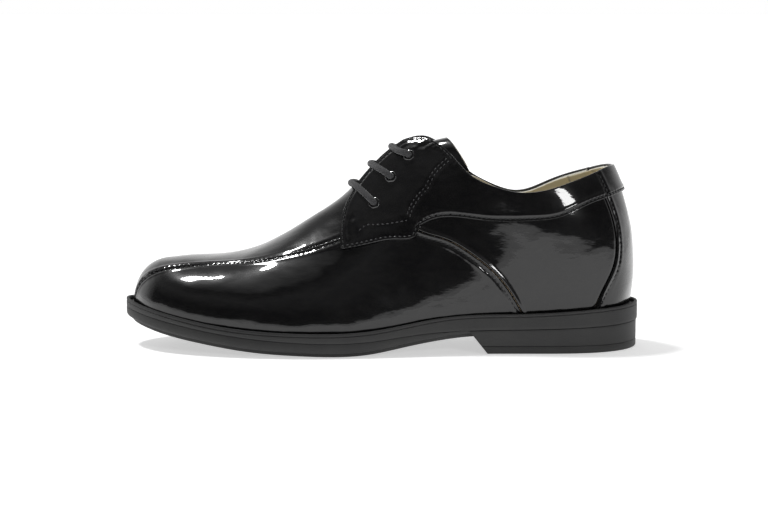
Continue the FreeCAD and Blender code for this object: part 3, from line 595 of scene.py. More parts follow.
def nearest(points, line):
    """Distance in mm from each point to a line of points, and the length along it there."""
    lengths = reach_of(line)
    flat = points.reshape(-1, 3)
    distance = np.empty(len(flat))
    along = np.empty(len(flat))
    start = line[:-1]
    move = np.diff(line, axis=0)
    size = (move ** 2).sum(1)
    for k in range(0, len(flat), CHUNK):
        chunk = flat[k:k + CHUNK, None, :]
        share = np.clip(((chunk - start) * move).sum(-1) / size, 0, 1)
        gap = np.linalg.norm(chunk - start - share[..., None] * move, axis=-1)
        best = gap.argmin(1)
        pick = np.arange(len(best))
        distance[k:k + CHUNK] = gap[pick, best]
        along[k:k + CHUNK] = lengths[best] + share[pick, best] * np.sqrt(size[best])
    return distance.reshape(points.shape[:-1]), along.reshape(points.shape[:-1])


def row_line(side, curve, distance):
    """A row of stitches beside a seam, as an (s, t) line."""
    s, t = curve(LINE)
    return offset_curve(side, s, t, distance) if distance else (s, t)


def press(points, side, curve, distance):
    """A row of stitches pulls the leather down in pits, between two soft rolls."""
    gap, along = nearest(points, surface(side, *row_line(side, curve, distance)))
    pits = PIT_GROOVE + (1 - PIT_GROOVE) * np.cos(2 * math.pi * along / STITCH_PITCH)
    drift = 2 * np.sin(along * DRAW_DRIFT)
    ripple = DRAW_HEIGHT * np.cos(2 * math.pi * along / DRAW_LENGTH + drift)
    return (ROLL_HEIGHT * bump(gap - ROLL_AT, ROLL_WIDTH) - PIT_DEPTH * bump(gap, PIT_WIDTH) * pits
            + ripple * np.exp(-gap / DRAW_REACH) * smooth(gap))


def fold(points, side, curve, height, width, distance):
    """A folded edge or ridge beside a seam."""
    line = surface(side, *row_line(side, curve, distance))
    return height * bump(nearest(points, line)[0], width)


# waves in radians per mm, phase, height in mm
UNEVEN = [((.21, .05, .13), .3, .050), ((-.11, .17, .24), 1.7, .045),
          ((.34, -.21, -.08), 4.1, .026), ((.07, .31, -.38), 2.6, .024),
          ((.52, .12, .30), 5.2, .012), ((-.44, .40, .35), .9, .010)]


def uneven(points):
    """The slight unevenness of lasted leather, fractions of a millimetre over 10 to 30 mm."""
    total = 0
    for wave, phase, size in UNEVEN:
        total = total + size * np.sin(points @ np.array(wave) + phase)
    return total


def tab_foot(a):
    """Lower edge of the heel tab, from its seam to the middle of the heel."""
    s = TAB_FRONT + (1 - TAB_FRONT) * a
    return s, HEEL_BAND_FOOT(s)


# stitch rows: curve and distance to its left in mm, and the panels that they are pressed in
TRAM_ROWS = [(TRAMLINE, -0.85), (TRAMLINE, 1.05)]
WAIST_ROWS = [(WAIST_SEAM, 1.9)]
COUNTER_ROWS = [(COUNTER_SEAM, -2.5)]
FACING_ROWS = [(FACING_FRONT, -1.25), (FACING_TOP, -1.25), (FACING_FOOT, 1.2), (BAND_FOOT, 1.2),
               (STRAP_ROW, 0), (STRAP_ROW, -1.5), (STRAP_FOOT_ROW, 0)]
TAB_ROWS = [(TAB_SEAM, -1.1), (tab_foot, 1.1)]


def relief_of(sides, rows=(), folds=()):
    """Relief function of a panel: unevenness, its stitch rows and its folded edges."""
    def relief(points):
        total = uneven(points)
        for side in sides:
            for curve, distance in rows:
                total = total + press(points, side, curve, distance)
            for curve, height, width, distance in folds:
                total = total + fold(points, side, curve, height, width, distance)
        return total
    return relief


TACK_DEPTH = 0.75
TACK_RADIUS = 1.3
PUCKER_WIDTH = 0.9
EYELET_PUCKER = (2.2, 0.30, 7)    # radius, height and number of folds
TACK_PUCKER = (1.2, 0.22, 5)


def dimples(points, side):
    """Puckers round the eyelets, and pits with puckers at the bar tacks."""
    total = 0
    for spot in EYELETS:
        total = total + pucker(points, side, spot, *EYELET_PUCKER)
    for spot in BAR_TACKS:
        pit = TACK_DEPTH * bump(radius_from(points, side, spot)[0], TACK_RADIUS)
        total = total - pit + pucker(points, side, spot, *TACK_PUCKER)
    return total


def radius_from(points, side, spot):
    """Distance and bearing of each point round a spot on the surface."""
    centre = surface(side, *spot)
    axis = outward(side, *spot)
    across = unit(np.cross(axis, (0, 0, 1)))
    away = points - centre
    return (np.linalg.norm(away, axis=-1),
            np.arctan2(away @ np.cross(axis, across), away @ across))


def pucker(points, side, spot, radius, height, folds):
    """A ring of raised leather round a spot, gathered into folds."""
    away, bearing = radius_from(points, side, spot)
    waves = 0.7 + 0.3 * np.cos(folds * bearing + spot[0] * 40)
    return height * waves * bump(away - radius - PUCKER_WIDTH, PUCKER_WIDTH)


# ---- stitches
STITCH_LENGTH = 1.75
STITCH_RADIUS = 0.29
STITCH_SIDES = 6
STITCH_RINGS = 7
STITCH_DIVE = 0.34                # its ends go down into the leather
STITCH_SINK = 0.02


def sweep(centres, tangents, ups, radii, sides):
    """Tube over rings of points: (points, faces), closed at both ends."""
    rights = np.cross(tangents, ups)
    turn = 2 * math.pi * np.arange(sides) / sides
    ring = (np.cos(turn)[None, :, None] * ups[:, None, :]
            + np.sin(turn)[None, :, None] * rights[:, None, :])
    radii = np.asarray(radii, float)
    radii = radii[:, None] if radii.ndim == 1 else radii
    points = (centres[:, None, :] + ring * radii[..., None]).reshape(-1, 3)
    faces = grid_faces(len(centres), sides, closed=True)
    faces.append(list(range(sides))[::-1])
    faces.append(list(range(len(points) - sides, len(points))))
    return points, faces


def stitches(name, rows, height):
    """A piece of all the stitches of some rows: (side, curve, distance) each."""
    tubes = []
    u = np.linspace(-1, 1, STITCH_RINGS)
    radii = STITCH_RADIUS * np.sqrt(np.clip(1.04 - u ** 2, 0.04, 1))
    for side, curve, distance in rows:
        s, t = row_line(side, curve, distance)
        lengths = reach_of(surface(side, s, t))
        for k in range(int(lengths[-1] / STITCH_PITCH)):
            at = (k + 0.5) * STITCH_PITCH + u * STITCH_LENGTH / 2
            ring_s = np.interp(at, lengths, s)
            ring_t = np.interp(at, lengths, t)
            base = surface(side, ring_s, ring_t)
            up = outward(side, ring_s, ring_t)
            lift = height(ring_s, ring_t) if callable(height) else height
            lift = lift - STITCH_DIVE * abs(u) ** 3 - STITCH_SINK
            tangent = unit(np.gradient(base, axis=0))
            up = unit(up - tangent * (up * tangent).sum(-1, keepdims=True))
            tubes.append(sweep(base + up * np.reshape(lift, (-1, 1)), tangent, up, radii,
                               STITCH_SIDES))
    return finish_mesh(name, mesh_of(name, *joined(tubes)), THREAD)


# ---- materials
NOISE = "ShaderNodeTexNoise"
VORONOI = "ShaderNodeTexVoronoi"


def nodes_of(name):
    """New material: (material, node tree, shader)."""
    material = bpy.data.materials.new(name)
    material.use_nodes = True
    tree = material.node_tree
    return material, tree, tree.nodes["Principled BSDF"]


def set_inputs(shader, values):
    """Constant values on sockets, by their names."""
    for socket, value in values.items():
        shader.inputs[socket].default_value = value


def texture(tree, kind, scale, stretch=(1, 1, 1), **values):
    """A 3-D texture whose scale counts features per millimetre of the shoe."""
    place = tree.nodes.new("ShaderNodeTexCoord")
    mapping = tree.nodes.new("ShaderNodeMapping")
    mapping.inputs["Scale"].default_value = [scale * k / UNIT for k in stretch]
    node = tree.nodes.new(kind)
    set_inputs(node, {"Scale": 1.0, **values})
    tree.links.new(place.outputs["Object"], mapping.inputs["Vector"])
    tree.links.new(mapping.outputs["Vector"], node.inputs["Vector"])
    return node.outputs["Distance" if kind == VORONOI else "Fac"]


def ramp(tree, source, low, high, start=0.35, end=0.65):
    """Colour that runs from low to high between two values of the source."""
    node = tree.nodes.new("ShaderNodeValToRGB")
    for element, position, colour in zip(node.color_ramp.elements, (start, end), (low, high)):
        element.position = position
        element.color = (*colour, 1)
    tree.links.new(source, node.inputs["Fac"])
    return node.outputs["Color"]


def spread(tree, source, low, high):
    """Value that runs from low to high with the source."""
    node = tree.nodes.new("ShaderNodeMapRange")
    set_inputs(node, {"To Min": low, "To Max": high})
    tree.links.new(source, node.inputs["Value"])
    return node.outputs["Result"]


def add_bump(tree, shader, layers):
    """Bumps stacked one on the other: (height output, depth in mm)."""
    normal = None
    for source, depth in layers:
        node = tree.nodes.new("ShaderNodeBump")
        set_inputs(node, {"Distance": depth * UNIT, "Strength": 1.0})
        tree.links.new(source, node.inputs["Height"])
        if normal:
            tree.links.new(normal, node.inputs["Normal"])
        normal = node.outputs["Normal"]
    tree.links.new(normal, shader.inputs["Normal"])
    return normal


def patent_leather():
    """Black leather under a clear glossy coat."""
    material, tree, shader = nodes_of("patent_leather")
    broad = texture(tree, NOISE, 0.10, (0.8, 1, 1.4), Detail=1.0)
    fine = texture(tree, NOISE, 0.42, (0.6, 1, 1.3), Detail=2.0)
    grain = texture(tree, VORONOI, 2.4)
    tint = ramp(tree, fine, (.0035, .0035, .0040), (.0062, .0060, .0062))
    tree.links.new(tint, shader.inputs["Base Color"])
    tree.links.new(spread(tree, broad, .20, .34), shader.inputs["Roughness"])
    set_inputs(shader, {"Specular IOR Level": 0.10, "Coat Weight": 1.0, "Coat Roughness": 0.035,
                        "Coat IOR": 1.52})
    normal = add_bump(tree, shader, [(broad, .22), (fine, .030), (grain, .002)])
    tree.links.new(normal, shader.inputs["Coat Normal"])
    return material


def lining_leather():
    """Undyed calf, matt and faintly cloudy."""
    material, tree, shader = nodes_of("lining_leather")
    cloud = texture(tree, NOISE, 0.10, Detail=4.0)
    pores = texture(tree, VORONOI, 1.7)
    grain = texture(tree, NOISE, 1.1, Detail=5.0)
    tint = ramp(tree, cloud, (.74, .66, .46), (.84, .77, .57))
    tree.links.new(tint, shader.inputs["Base Color"])
    tree.links.new(spread(tree, grain, .52, .74), shader.inputs["Roughness"])
    set_inputs(shader, {"Sheen Weight": 0.15})
    add_bump(tree, shader, [(grain, .10), (pores, .05)])
    return material


def sole_rubber():
    """Dull black rubber."""
    material, tree, shader = nodes_of("sole_rubber")
    cloud = texture(tree, NOISE, 0.05, Detail=3.0)
    grain = texture(tree, NOISE, 2.2, Detail=4.0)
    pits = texture(tree, VORONOI, 1.3)
    tint = ramp(tree, cloud, (.018, .018, .0185), (.025, .025, .0245))
    tree.links.new(tint, shader.inputs["Base Color"])
    tree.links.new(spread(tree, grain, .50, .70), shader.inputs["Roughness"])
    add_bump(tree, shader, [(grain, .05), (pits, .02)])
    return material


def lace_textile():
    """Waxed cotton, with loose fibres that catch the light."""
    material, tree, shader = nodes_of("lace_textile")
    fibre = texture(tree, NOISE, 2.6, Detail=6.0)
    slub = texture(tree, NOISE, 0.45, Detail=2.0)
    tint = ramp(tree, fibre, (.015, .015, .016), (.056, .056, .060), .30, .72)
    tree.links.new(tint, shader.inputs["Base Color"])
    tree.links.new(spread(tree, slub, .72, .92), shader.inputs["Roughness"])
    set_inputs(shader, {"Sheen Weight": 0.35, "Sheen Roughness": 0.5})
    add_bump(tree, shader, [(fibre, .12)])
    return material


def simple(name, low, high, scale, roughness, metallic=0.0, depth=0.03, kind=NOISE,
           stretch=(1, 1, 1), coat=0.0):
    """Material of a hidden or small piece: mottled colour, roughness and fine bump."""
    material, tree, shader = nodes_of(name)
    mottle = texture(tree, kind, scale, stretch)
    tree.links.new(ramp(tree, mottle, low, high), shader.inputs["Base Color"])
    tree.links.new(spread(tree, mottle, *roughness), shader.inputs["Roughness"])
    set_inputs(shader, {"Metallic": metallic, "Coat Weight": coat})
    add_bump(tree, shader, [(mottle, depth)])
    return material


PATENT = patent_leather()
LINING = lining_leather()
RUBBER = sole_rubber()
LACE = lace_textile()
THREAD = simple("sewing_thread", (.010, .010, .011), (.022, .022, .024), 3.0, (.45, .65))
BOARD = simple("fibre_board", (.42, .31, .20), (.56, .44, .30), 0.8, (.80, .95), depth=.08)
FOAM = simple("foam", (.66, .63, .55), (.78, .76, .69), 1.4, (.85, .98), depth=.20, kind=VORONOI)
STEEL = simple("spring_steel", (.42, .43, .45), (.56, .57, .58), 0.5, (.24, .40), metallic=1.0,
               depth=.01, stretch=(.1, 3, 3))
EYELET = simple("eyelet_enamel", (.004, .004, .004), (.009, .009, .010), 0.6, (.10, .22), coat=1.0)
AGLET = simple("aglet_plastic", (.008, .008, .008), (.016, .016, .017), 0.4, (.12, .24), depth=.02)

# the frame's material slot that each stands for; thread stands for none, and steel stays CAD
SLOT_OF = {PATENT: "patent_leather", LINING: "lining_leather", RUBBER: "sole_rubber",
           LACE: "lace_textile", BOARD: "fibre_board", FOAM: "foam", EYELET: "eyelet_metal",
           AGLET: "aglet_plastic"}

# ---- outer leather
BOTH = (LATERAL, MEDIAL)
# folded edges and ridges: seam, height, width and distance to its left, in mm
TRAM_FOLD = [(TRAMLINE, 0.42, 0.62, 0.10)]
WAIST_FOLD = [(WAIST_SEAM, .20, .8, .6)]
LOWER_FOLDS = [(WAIST_SEAM, .42, .85, -.75), (COUNTER_SEAM, -.35, .9, 0)]
COUNTER_FOLD = [(COUNTER_SEAM, .55, .75, -1.25)]
TOE_RISE = shifted(part_of(TRAMLINE, 0, TRAMLINE_KNEE), GAP, -GAP)
FACING_HOLE = 2.2                 # radii of the holes that the eyelets sit in
LINING_HOLE = 2.45
DRILL_SIDES = 28
DRILL_ENDS = (-4, 6)              # below and above the leather surface


def joint_of(a, share, front, rear):
    """Point of two patches or curves laid end to end: front up to the share, then rear."""
    ahead = front(np.minimum(a / share, 1))
    behind = rear(np.maximum((a - share) / (1 - share), 0))
    return tuple(np.where(a < share, f, r) for f, r in zip(ahead, behind))


def vamp_upper_edge(a):
    """The tramline behind its knee, then the edge under the facing."""
    return joint_of(a, 1 - VAMP_TOP_SHARE, part_of(TRAMLINE, TRAMLINE_KNEE, 1), VAMP_TOP)


def lowered(curve, side):
    """The medial collar dips a little lower than the lateral one."""
    if side == LATERAL:
        return curve

    def medial(a):
        s, t = curve(a)
        return s, t - MEDIAL_DIP * bump(s - MEDIAL_DIP_AT, MEDIAL_DIP_WIDTH)

    return medial


def back_by_gap(curve):
    """The curve with its rear end drawn forward by the gap at the heel tab."""
    return lambda a: (curve(a)[0] - GAP * a, curve(a)[1])


def quarter_upper_place(side):
    """The facing, then the collar, meeting on the line from the notch to the topline."""
    facing = four_sided(side, FACING_FRONT, FACING_REAR, FACING_FOOT, FACING_TOP)
    collar = four_sided(side, FACING_REAR, shifted(TAB_SEAM, -GAP, 0), back_by_gap(BAND_FOOT),
                        back_by_gap(lowered(TOPLINE, side)))
    return lambda a, b: joint_of(a, FACING_SHARE, lambda f: facing(f, b), lambda r: collar(r, b))


def eyelet_drills(side, radius):
    """Pins through the facing at its eyelets, to cut the holes with."""
    pins = []
    for spot in EYELETS:
        axis = outward(side, *spot)
        across = unit(np.cross(axis, (0, 0, 1)))
        centres = surface(side, *spot) + np.outer(DRILL_ENDS, axis)
        pins.append(sweep(centres, np.tile(axis, (2, 1)), np.tile(across, (2, 1)),
                          (radius, radius), DRILL_SIDES))
    return linked("drill", mesh_of("drill", *joined(pins)))


def cut(obj, cutter):
    """Boolean difference, applied; the cutter is deleted."""
    modifier = obj.modifiers.new("cut", "BOOLEAN")
    modifier.operation = "DIFFERENCE"
    modifier.solver = "EXACT"
    modifier.object = cutter
    graph = bpy.context.evaluated_depsgraph_get()
    result = bpy.data.meshes.new_from_object(obj.evaluated_get(graph))
    obj.modifiers.remove(modifier)
    old = obj.data
    obj.data = result
    result.name = obj.name
    bpy.data.meshes.remove(old)
    bpy.data.objects.remove(cutter)


def outer_panel(name, place, cell, relief):
    """A panel whose face is the leather surface."""
    shell(name, place, cell, -LEATHER, 0, PATENT, relief=relief)


def outer_leather():
    """The panels that show, from the toe back."""
    outer_panel("vamp_centre_strip", over_toe(shifted(TRAMLINE, 0, GAP), VAMP_END),
                FACE_CELL, relief_of(BOTH, TRAM_ROWS[1:], TRAM_FOLD))
    for side, name in SIDES.items():
        front = shifted(WAIST_SEAM, -GAP, -GAP)
        outer_panel("vamp_side_" + name,
                    four_sided(side, TOE_RISE, front, straight(TOE_RISE(0), front(0)),
                               shifted(vamp_upper_edge, GAP, -GAP)),
                    SIDE_CELL,
                    relief_of((side,), TRAM_ROWS[:1] + WAIST_ROWS, TRAM_FOLD + WAIST_FOLD))
        front = shifted(WAIST_SEAM, GAP, GAP)
        rear = shifted(COUNTER_SEAM, -GAP, GAP)
        outer_panel("quarter_lower_" + name,
                    four_sided(side, front, rear, straight(front(0), rear(0)),
                               shifted(QUARTER_TOP, 0, GAP)),
                    SIDE_CELL, relief_of((side,), (), LOWER_FOLDS))
        panel = shell("quarter_upper_" + name, quarter_upper_place(side), FINE_CELL,
                      overlay_inner, overlay_outer, PATENT, relief=facing_relief(side))
        cut(panel, eyelet_drills(side, FACING_HOLE))
    outer_panel("heel_counter_cover",
                round_heel(shifted(COUNTER_SEAM, GAP, 0), lambda s: 0 * s,
                           lambda s: HEEL_BAND_FOOT(np.maximum(s, TAB_FRONT)) + LAP),
                FACE_CELL, relief_of(BOTH, COUNTER_ROWS, COUNTER_FOLD))
    shell("heel_tab", round_heel(shifted(TAB_SEAM, GAP, 0), HEEL_BAND_FOOT, HEEL_TOPLINE),
          FINE_CELL, LAYER_GAP, LAYER_GAP + LEATHER, PATENT, relief=relief_of(BOTH, TAB_ROWS))


def facing_relief(side):
    """Relief of the quarter's upper panel: its rows, and the dimples of its facing."""
    rows = relief_of((side,), FACING_ROWS)
    return lambda points: rows(points) + dimples(points, side)


def outer_stitches():
    """The thread of every row, as pieces by panel."""
    def on(side, rows):
        return [(side, curve, distance) for curve, distance in rows]

    stitches("stitching_tramline", on(LATERAL, TRAM_ROWS) + on(MEDIAL, TRAM_ROWS), 0)
    for side, name in SIDES.items():
        stitches("stitching_seams_" + name, on(side, WAIST_ROWS + COUNTER_ROWS), 0)
        stitches("stitching_quarter_" + name, on(side, FACING_ROWS), overlay_outer)
        stitches("stitching_tab_" + name, on(side, TAB_ROWS), LAYER_GAP + LEATHER)


# ---- inside of the upper
PUFF_FOOT = straight((.04, .03), (.22, .03))
PUFF_END = 0.20
STIFFENER_FRONT = straight((.84, .02), (.84, .42))
STAY_FRONT = straight((.62, .02), (.62, .42))
STAY_REAR = straight((.83, .02), (.83, .42))
TAB_PADDING_FRONT = straight((.892, .575), (.892, .645))
PADDING_FRONT = straight((.645, .535), (.66, .60))
PADDING_REAR = straight((.887, .575), (.887, .645))
FACING_LINING_REAR = straight((.618, .56), (.709, .712))
FACING_LINING_START = 0.36        # where it begins along the facing's front edge


def stay(name, place):
    """Stiffener between the outer leather and the lining."""
    shell(name, place, STAY_CELL, STAY_INNER, STAY_OUTER, BOARD, drop=THIN_DROP)


def lining(name, place, inner=LINING_INNER, outer=LINING_OUTER):
    """Panel of lining leather."""
    return shell(name, place, LINING_CELL, inner, outer, LINING, drop=THIN_DROP)


def padding(name, place):
    """Foam between the collar and its lining."""
    piece = shell(name, place, PADDING_CELL, STAY_INNER, PADDING_OUTER, FOAM)


def inner_pieces():
    """Stiffeners, padding, linings and tongue."""
    stay("toe_puff", over_toe(PUFF_FOOT, PUFF_END, PUFF_CORNER))
    stay("heel_counter_stiffener",
         round_heel(STIFFENER_FRONT, lambda s: 0.02 + 0 * s,
                    lambda s: .42 + .08 * smooth((s - .84) / .1)))
    lining("vamp_lining", over_toe(VAMP_LINING_FOOT, VAMP_LINING_END))
    lining("heel_lining", round_heel(HEEL_LINING_FRONT, lambda s: 0 * s, HEEL_TOPLINE))
    padding("heel_tab_padding",
            round_heel(TAB_PADDING_FRONT, lambda s: HEEL_BAND_FOOT(s) + LAP + .01,
                       lambda s: HEEL_TOPLINE(s) - .004))
    for side, name in SIDES.items():
        stay("quarter_stay_" + name,
             four_sided(side, STAY_FRONT, STAY_REAR, straight(STAY_FRONT(0), STAY_REAR(0)),
                        straight(STAY_FRONT(1), STAY_REAR(1))))
        lining("quarter_lining_" + name,
               four_sided(side, LINING_FRONT, LINING_REAR,
                          straight(LINING_FRONT(0), LINING_REAR(0)), lowered(LINING_TOP, side)))
        padding("collar_padding_" + name,
                four_sided(side, PADDING_FRONT, PADDING_REAR, PADDING_FOOT,
                           lowered(PADDING_TOP, side)))
        front = part_of(FACING_FRONT, FACING_LINING_START, 1)
        foot = seam([front(0), (.545, .60), (.59, .555), FACING_LINING_REAR(0)])
        panel = lining("facing_lining_" + name,
                       four_sided(side, front, FACING_LINING_REAR, foot, FACING_TOP),
                       facing_lining_inner, facing_lining_outer)
        cut(panel, eyelet_drills(side, LINING_HOLE))
    place = over_ridge(TONGUE_START, TONGUE_END, TONGUE_EDGE)
    shell("tongue_leather", place, FACE_CELL, TONGUE_INNER, TONGUE_OUTER, PATENT, TONGUE, uneven)
    shell("tongue_lining", place, TONGUE_LINING_CELL, TONGUE_LINING_INNER,
          TONGUE_INNER - LAYER_GAP, LINING, TONGUE, drop=THIN_DROP)


# ---- eyelets
# radius and height above the leather surface, from the back of the bore round the rim
EYELET_PROFILE = [(1.80, -.42), (1.74, .60), (1.78, 1.75), (1.92, 2.10), (2.18, 2.24),
                  (2.50, 2.16), (2.80, 1.92), (2.92, 1.70), (2.60, 1.55), (2.34, 1.30),
                  (2.30, -.10), (2.95, -.16), (3.00, -.30), (2.95, -.44)]
EYELET_SIDES = 40
EYELET_BORE = 1.9                 # the profile inside this radius is true, the rest uneven
EYELET_UNEVEN = 0.035
EYELET_LOBES = 6


def eyelets(side, name):
    """Three rings: a rolled rim on the face, a barrel through it and a flange behind it."""
    profile = np.array(EYELET_PROFILE)
    profile_radius = profile[:, :1]
    index = np.arange(EYELET_SIDES)
    turn = 2 * math.pi * index / EYELET_SIDES
    ahead = np.roll(index, -1)
    last = (len(profile) - 1) * EYELET_SIDES
    closing = np.stack([index, ahead, ahead + last, index + last], axis=1).tolist()
    faces = grid_faces(len(profile), EYELET_SIDES, closed=True) + closing
    rings = []
    for spot in EYELETS:
        axis = outward(side, *spot)
        across = unit(np.cross(axis, (0, 0, 1)))
        other = np.cross(axis, across)
        wave = 1 + EYELET_UNEVEN * np.cos(EYELET_LOBES * turn + 40 * spot[0])
        radius = profile_radius * np.where(profile_radius > EYELET_BORE, wave, 1)
        ring = np.cos(turn)[:, None] * across + np.sin(turn)[:, None] * other
        points = (surface(side, *spot) + radius[..., None] * ring[None]
                  + profile[:, 1, None, None] * axis)
        rings.append((points.reshape(-1, 3), faces))
    finish_mesh("eyelets_" + name, mesh_of("eyelets_" + name, *joined(rings)), EYELET)


# ---- lace
LACE_RADIUS = 1.5
LACE_OVER = 3.7                   # offset of its line above an eyelet
LACE_CROWN = 3.9                  # on a bar's shoulders
LACE_MIDDLE = 2.4                 # in the middle of a bar
LACE_UNDER = -1.9                 # below an eyelet
LACE_HUG = -5.4                   # along the lining
BAR_SHOULDER = (-.010, .845)      # s from the eyelet, and t
BAR_MIDDLE = (-.019, 1.0)
AGLET_LENGTH = 16.0
AGLET_RINGS = 40
AGLET_SIDES = 20
AGLET_RADIUS = 0.90 * LACE_RADIUS
AGLET_GRIP = 0.5                  # how far it reaches over the lace
AGLET_CRIMPS = (3, 5)             # from the end of the lace
CRIMP_DEPTH = 0.05
CRIMP_WIDTH = 0.5
TIP_LENGTH = 1.2
TIP_TAPER = 0.35
LACE_SIDES = 36
LACE_STEP = 0.22
BRAID_STRANDS = 6
BRAID_PITCH = 1.5
BRAID_FLOOR = 0.89                # share of the radius that is reached between the strands
BRAID_RISE = 0.15                 # and how much more on their crests
FRAME_START = (0.3, 0.2, 1)       # any direction that the lace doesn't start along


def lace_route():
    """(side, s, t, offset) control points, from one tail to the other over three bars."""
    route = [(MEDIAL, .735, .395, LACE_HUG - 0.8), (MEDIAL, .700, .430, LACE_HUG),
             (MEDIAL, .665, .475, LACE_HUG), (MEDIAL, .632, .535, LACE_HUG),
             (MEDIAL, .600, .615, -3.6)]
    side = MEDIAL
    for s, t in EYELETS:
        shoulder = (s + BAR_SHOULDER[0], BAR_SHOULDER[1], LACE_CROWN)
        rise_up = [(s, t, LACE_UNDER), (s, t, LACE_OVER), shoulder]
        route += [(side, *point) for point in rise_up]
        route.append((side, s + BAR_MIDDLE[0], BAR_MIDDLE[1], LACE_MIDDLE))
        side = -side
        route += [(side, *point) for point in rise_up[::-1]]
    route += [(side, .668, .735, -2.3), (side, .684, .670, -4.4), (side, .700, .600, LACE_HUG),
              (side, .718, .530, LACE_HUG), (side, .742, .470, LACE_HUG - 0.3),
              (side, .768, .425, LACE_HUG - 1.2)]
    return np.array([surface(side, s, t) + outward(side, s, t) * offset
                     for side, s, t, offset in route])


def read_spline(points):
    """Points of the NURBS curve that has these control points, in mm."""
    curve = bpy.data.curves.new("lace_line", "CURVE")
    curve.dimensions = "3D"
    line = curve.splines.new("NURBS")
    line.points.add(len(points) - 1)
    for point, place in zip(line.points, points * UNIT):
        point.co = (*place, 1)
    line.order_u = 3
    line.use_endpoint_u = True
    line.resolution_u = 24
    obj = linked("lace_line", curve)
    graph = bpy.context.evaluated_depsgraph_get()
    mesh = bpy.data.meshes.new_from_object(obj.evaluated_get(graph))
    read = np.array([v.co for v in mesh.vertices]) / UNIT
    bpy.data.objects.remove(obj)
    bpy.data.curves.remove(curve)
    bpy.data.meshes.remove(mesh)
    return read


def even_line(points, step):
    """The line again with points at even steps, and the length along it at each."""
    lengths = reach_of(points)
    at = np.linspace(0, lengths[-1], int(lengths[-1] / step) + 1)
    return np.stack([np.interp(at, lengths, points[:, k]) for k in range(3)], axis=1), at


def carried_frames(line):
    """Tangents, and normals carried along the line without twist."""
    tangents = unit(np.gradient(line, axis=0))
    normal = unit(np.cross(tangents[0], FRAME_START))
    normals = []
    for tangent in tangents:
        normal = normal - tangent * (normal @ tangent)
        normal = normal / np.linalg.norm(normal)
        normals.append(normal)
    return tangents, np.array(normals)


def lace():
    """Round braided lace: two sets of strands wind opposite ways and pass over and under."""
    line, at = even_line(read_spline(lace_route()), LACE_STEP)
    tangents, normals = carried_frames(line)
    turn = np.arange(LACE_SIDES) / LACE_SIDES
    one = BRAID_STRANDS * turn[None, :] + at[:, None] / BRAID_PITCH
    two = BRAID_STRANDS * turn[None, :] - at[:, None] / BRAID_PITCH
    over = (np.floor(one) + np.floor(two)) % 2 == 0
    ridge = np.where(over, np.sin(math.pi * (one % 1)), np.sin(math.pi * (two % 1)))
    radius = LACE_RADIUS * (BRAID_FLOOR + BRAID_RISE * ridge)
    points, faces = sweep(line, tangents, normals, radius, LACE_SIDES)
    finish_mesh("lace", mesh_of("lace", points, faces), LACE)
    aglets = []
    along = np.linspace(0, AGLET_LENGTH, AGLET_RINGS)
    crimp = sum(CRIMP_DEPTH * bump(along - place, CRIMP_WIDTH) for place in AGLET_CRIMPS)
    taper = 1 - TIP_TAPER * smooth((along - AGLET_LENGTH + TIP_LENGTH) / TIP_LENGTH)
    radii = (AGLET_RADIUS - crimp) * taper
    for end, ahead in ((0, -1), (-1, 1)):
        direction = ahead * tangents[end]
        centres = line[end] + np.outer(along - AGLET_GRIP, direction)
        aglets.append(sweep(centres, np.tile(direction, (AGLET_RINGS, 1)),
                            np.tile(normals[end], (AGLET_RINGS, 1)), radii, AGLET_SIDES))
    finish_mesh("lace_aglets", mesh_of("lace_aglets", *joined(aglets)), AGLET)


# ---- sole and insoles
OUTLINE_POINTS = 320
OUTLINE_FINE = 4000               # points that the even ones are read from
WRAP = 4                          # plan points repeated at each end, to close the curve smoothly
LINES_END = 120.0                 # the height lines are read no further back than this
WALL_FOOT_END = 60.0
SPINE_END = 96.0                  # the middle line that flat faces close on runs to here
SPINE_Y = 1.0
CAP_SHARES = (.94, .8, .6, .4, .2, 0.02)


def flat(x):
    """The floor, as a height line."""
    return 0 * x


def wall_foot(x):
    """The tread's wall down to the heel."""
    return WALL_FOOT(np.minimum(x, WALL_FOOT_END))


# rings of each sole piece: inset, the line that its height follows, and mm above that line
RAND_RINGS = [(.50, PARTING, 0), (.14, PARTING, .05), (0, PARTING, .38), (0, PARTING, 1.6),
              (0, SOLE_TOP, -2.0), (.03, SOLE_TOP, -1.72), (.30, SOLE_TOP, -1.5),
              (.30, SOLE_TOP, -1.42), (.03, SOLE_TOP, -1.2), (0, SOLE_TOP, -.9),
              (.04, SOLE_TOP, -.45), (.22, SOLE_TOP, -.12), (.55, SOLE_TOP, 0),
              (RIM_WIDTH - .45, SOLE_TOP, 0), (RIM_WIDTH - .12, SOLE_TOP, -.16),
              (RIM_WIDTH, SOLE_TOP, -.5), (RIM_WIDTH, SOLE_TOP, -RIM_HEIGHT),
              (4, SOLE_TOP, -RIM_HEIGHT), (POCKET_INSET, SOLE_TOP, -RIM_HEIGHT),
              (POCKET_INSET, SOLE_TOP, -RIM_HEIGHT - POCKET_DEPTH)]
TREAD_RINGS = [(.6, PARTING, -.02), (.16, PARTING, -.10), (0, PARTING, -.42),
               (0, wall_foot, 1.5), (.10, wall_foot, .7), (.42, wall_foot, .2),
               (.95, wall_foot, 0), (TREAD_INSET - .3, wall_foot, 0),
               (TREAD_INSET, wall_foot, -.3), (TREAD_INSET, wall_foot, .4 - TREAD_STEP),
               (TREAD_INSET + .4, wall_foot, -TREAD_STEP)]
HEEL_RINGS = [(HEEL_INSET + .5, flat, TOP_PIECE), (HEEL_INSET + .12, flat, TOP_PIECE + .06),
              (HEEL_INSET, flat, TOP_PIECE + .4), (HEEL_INSET, PARTING, -1.6),
              (HEEL_INSET - .05, PARTING, -.9), (HEEL_INSET + .06, PARTING, -.35),
              (HEEL_INSET + .5, PARTING, -.02)]
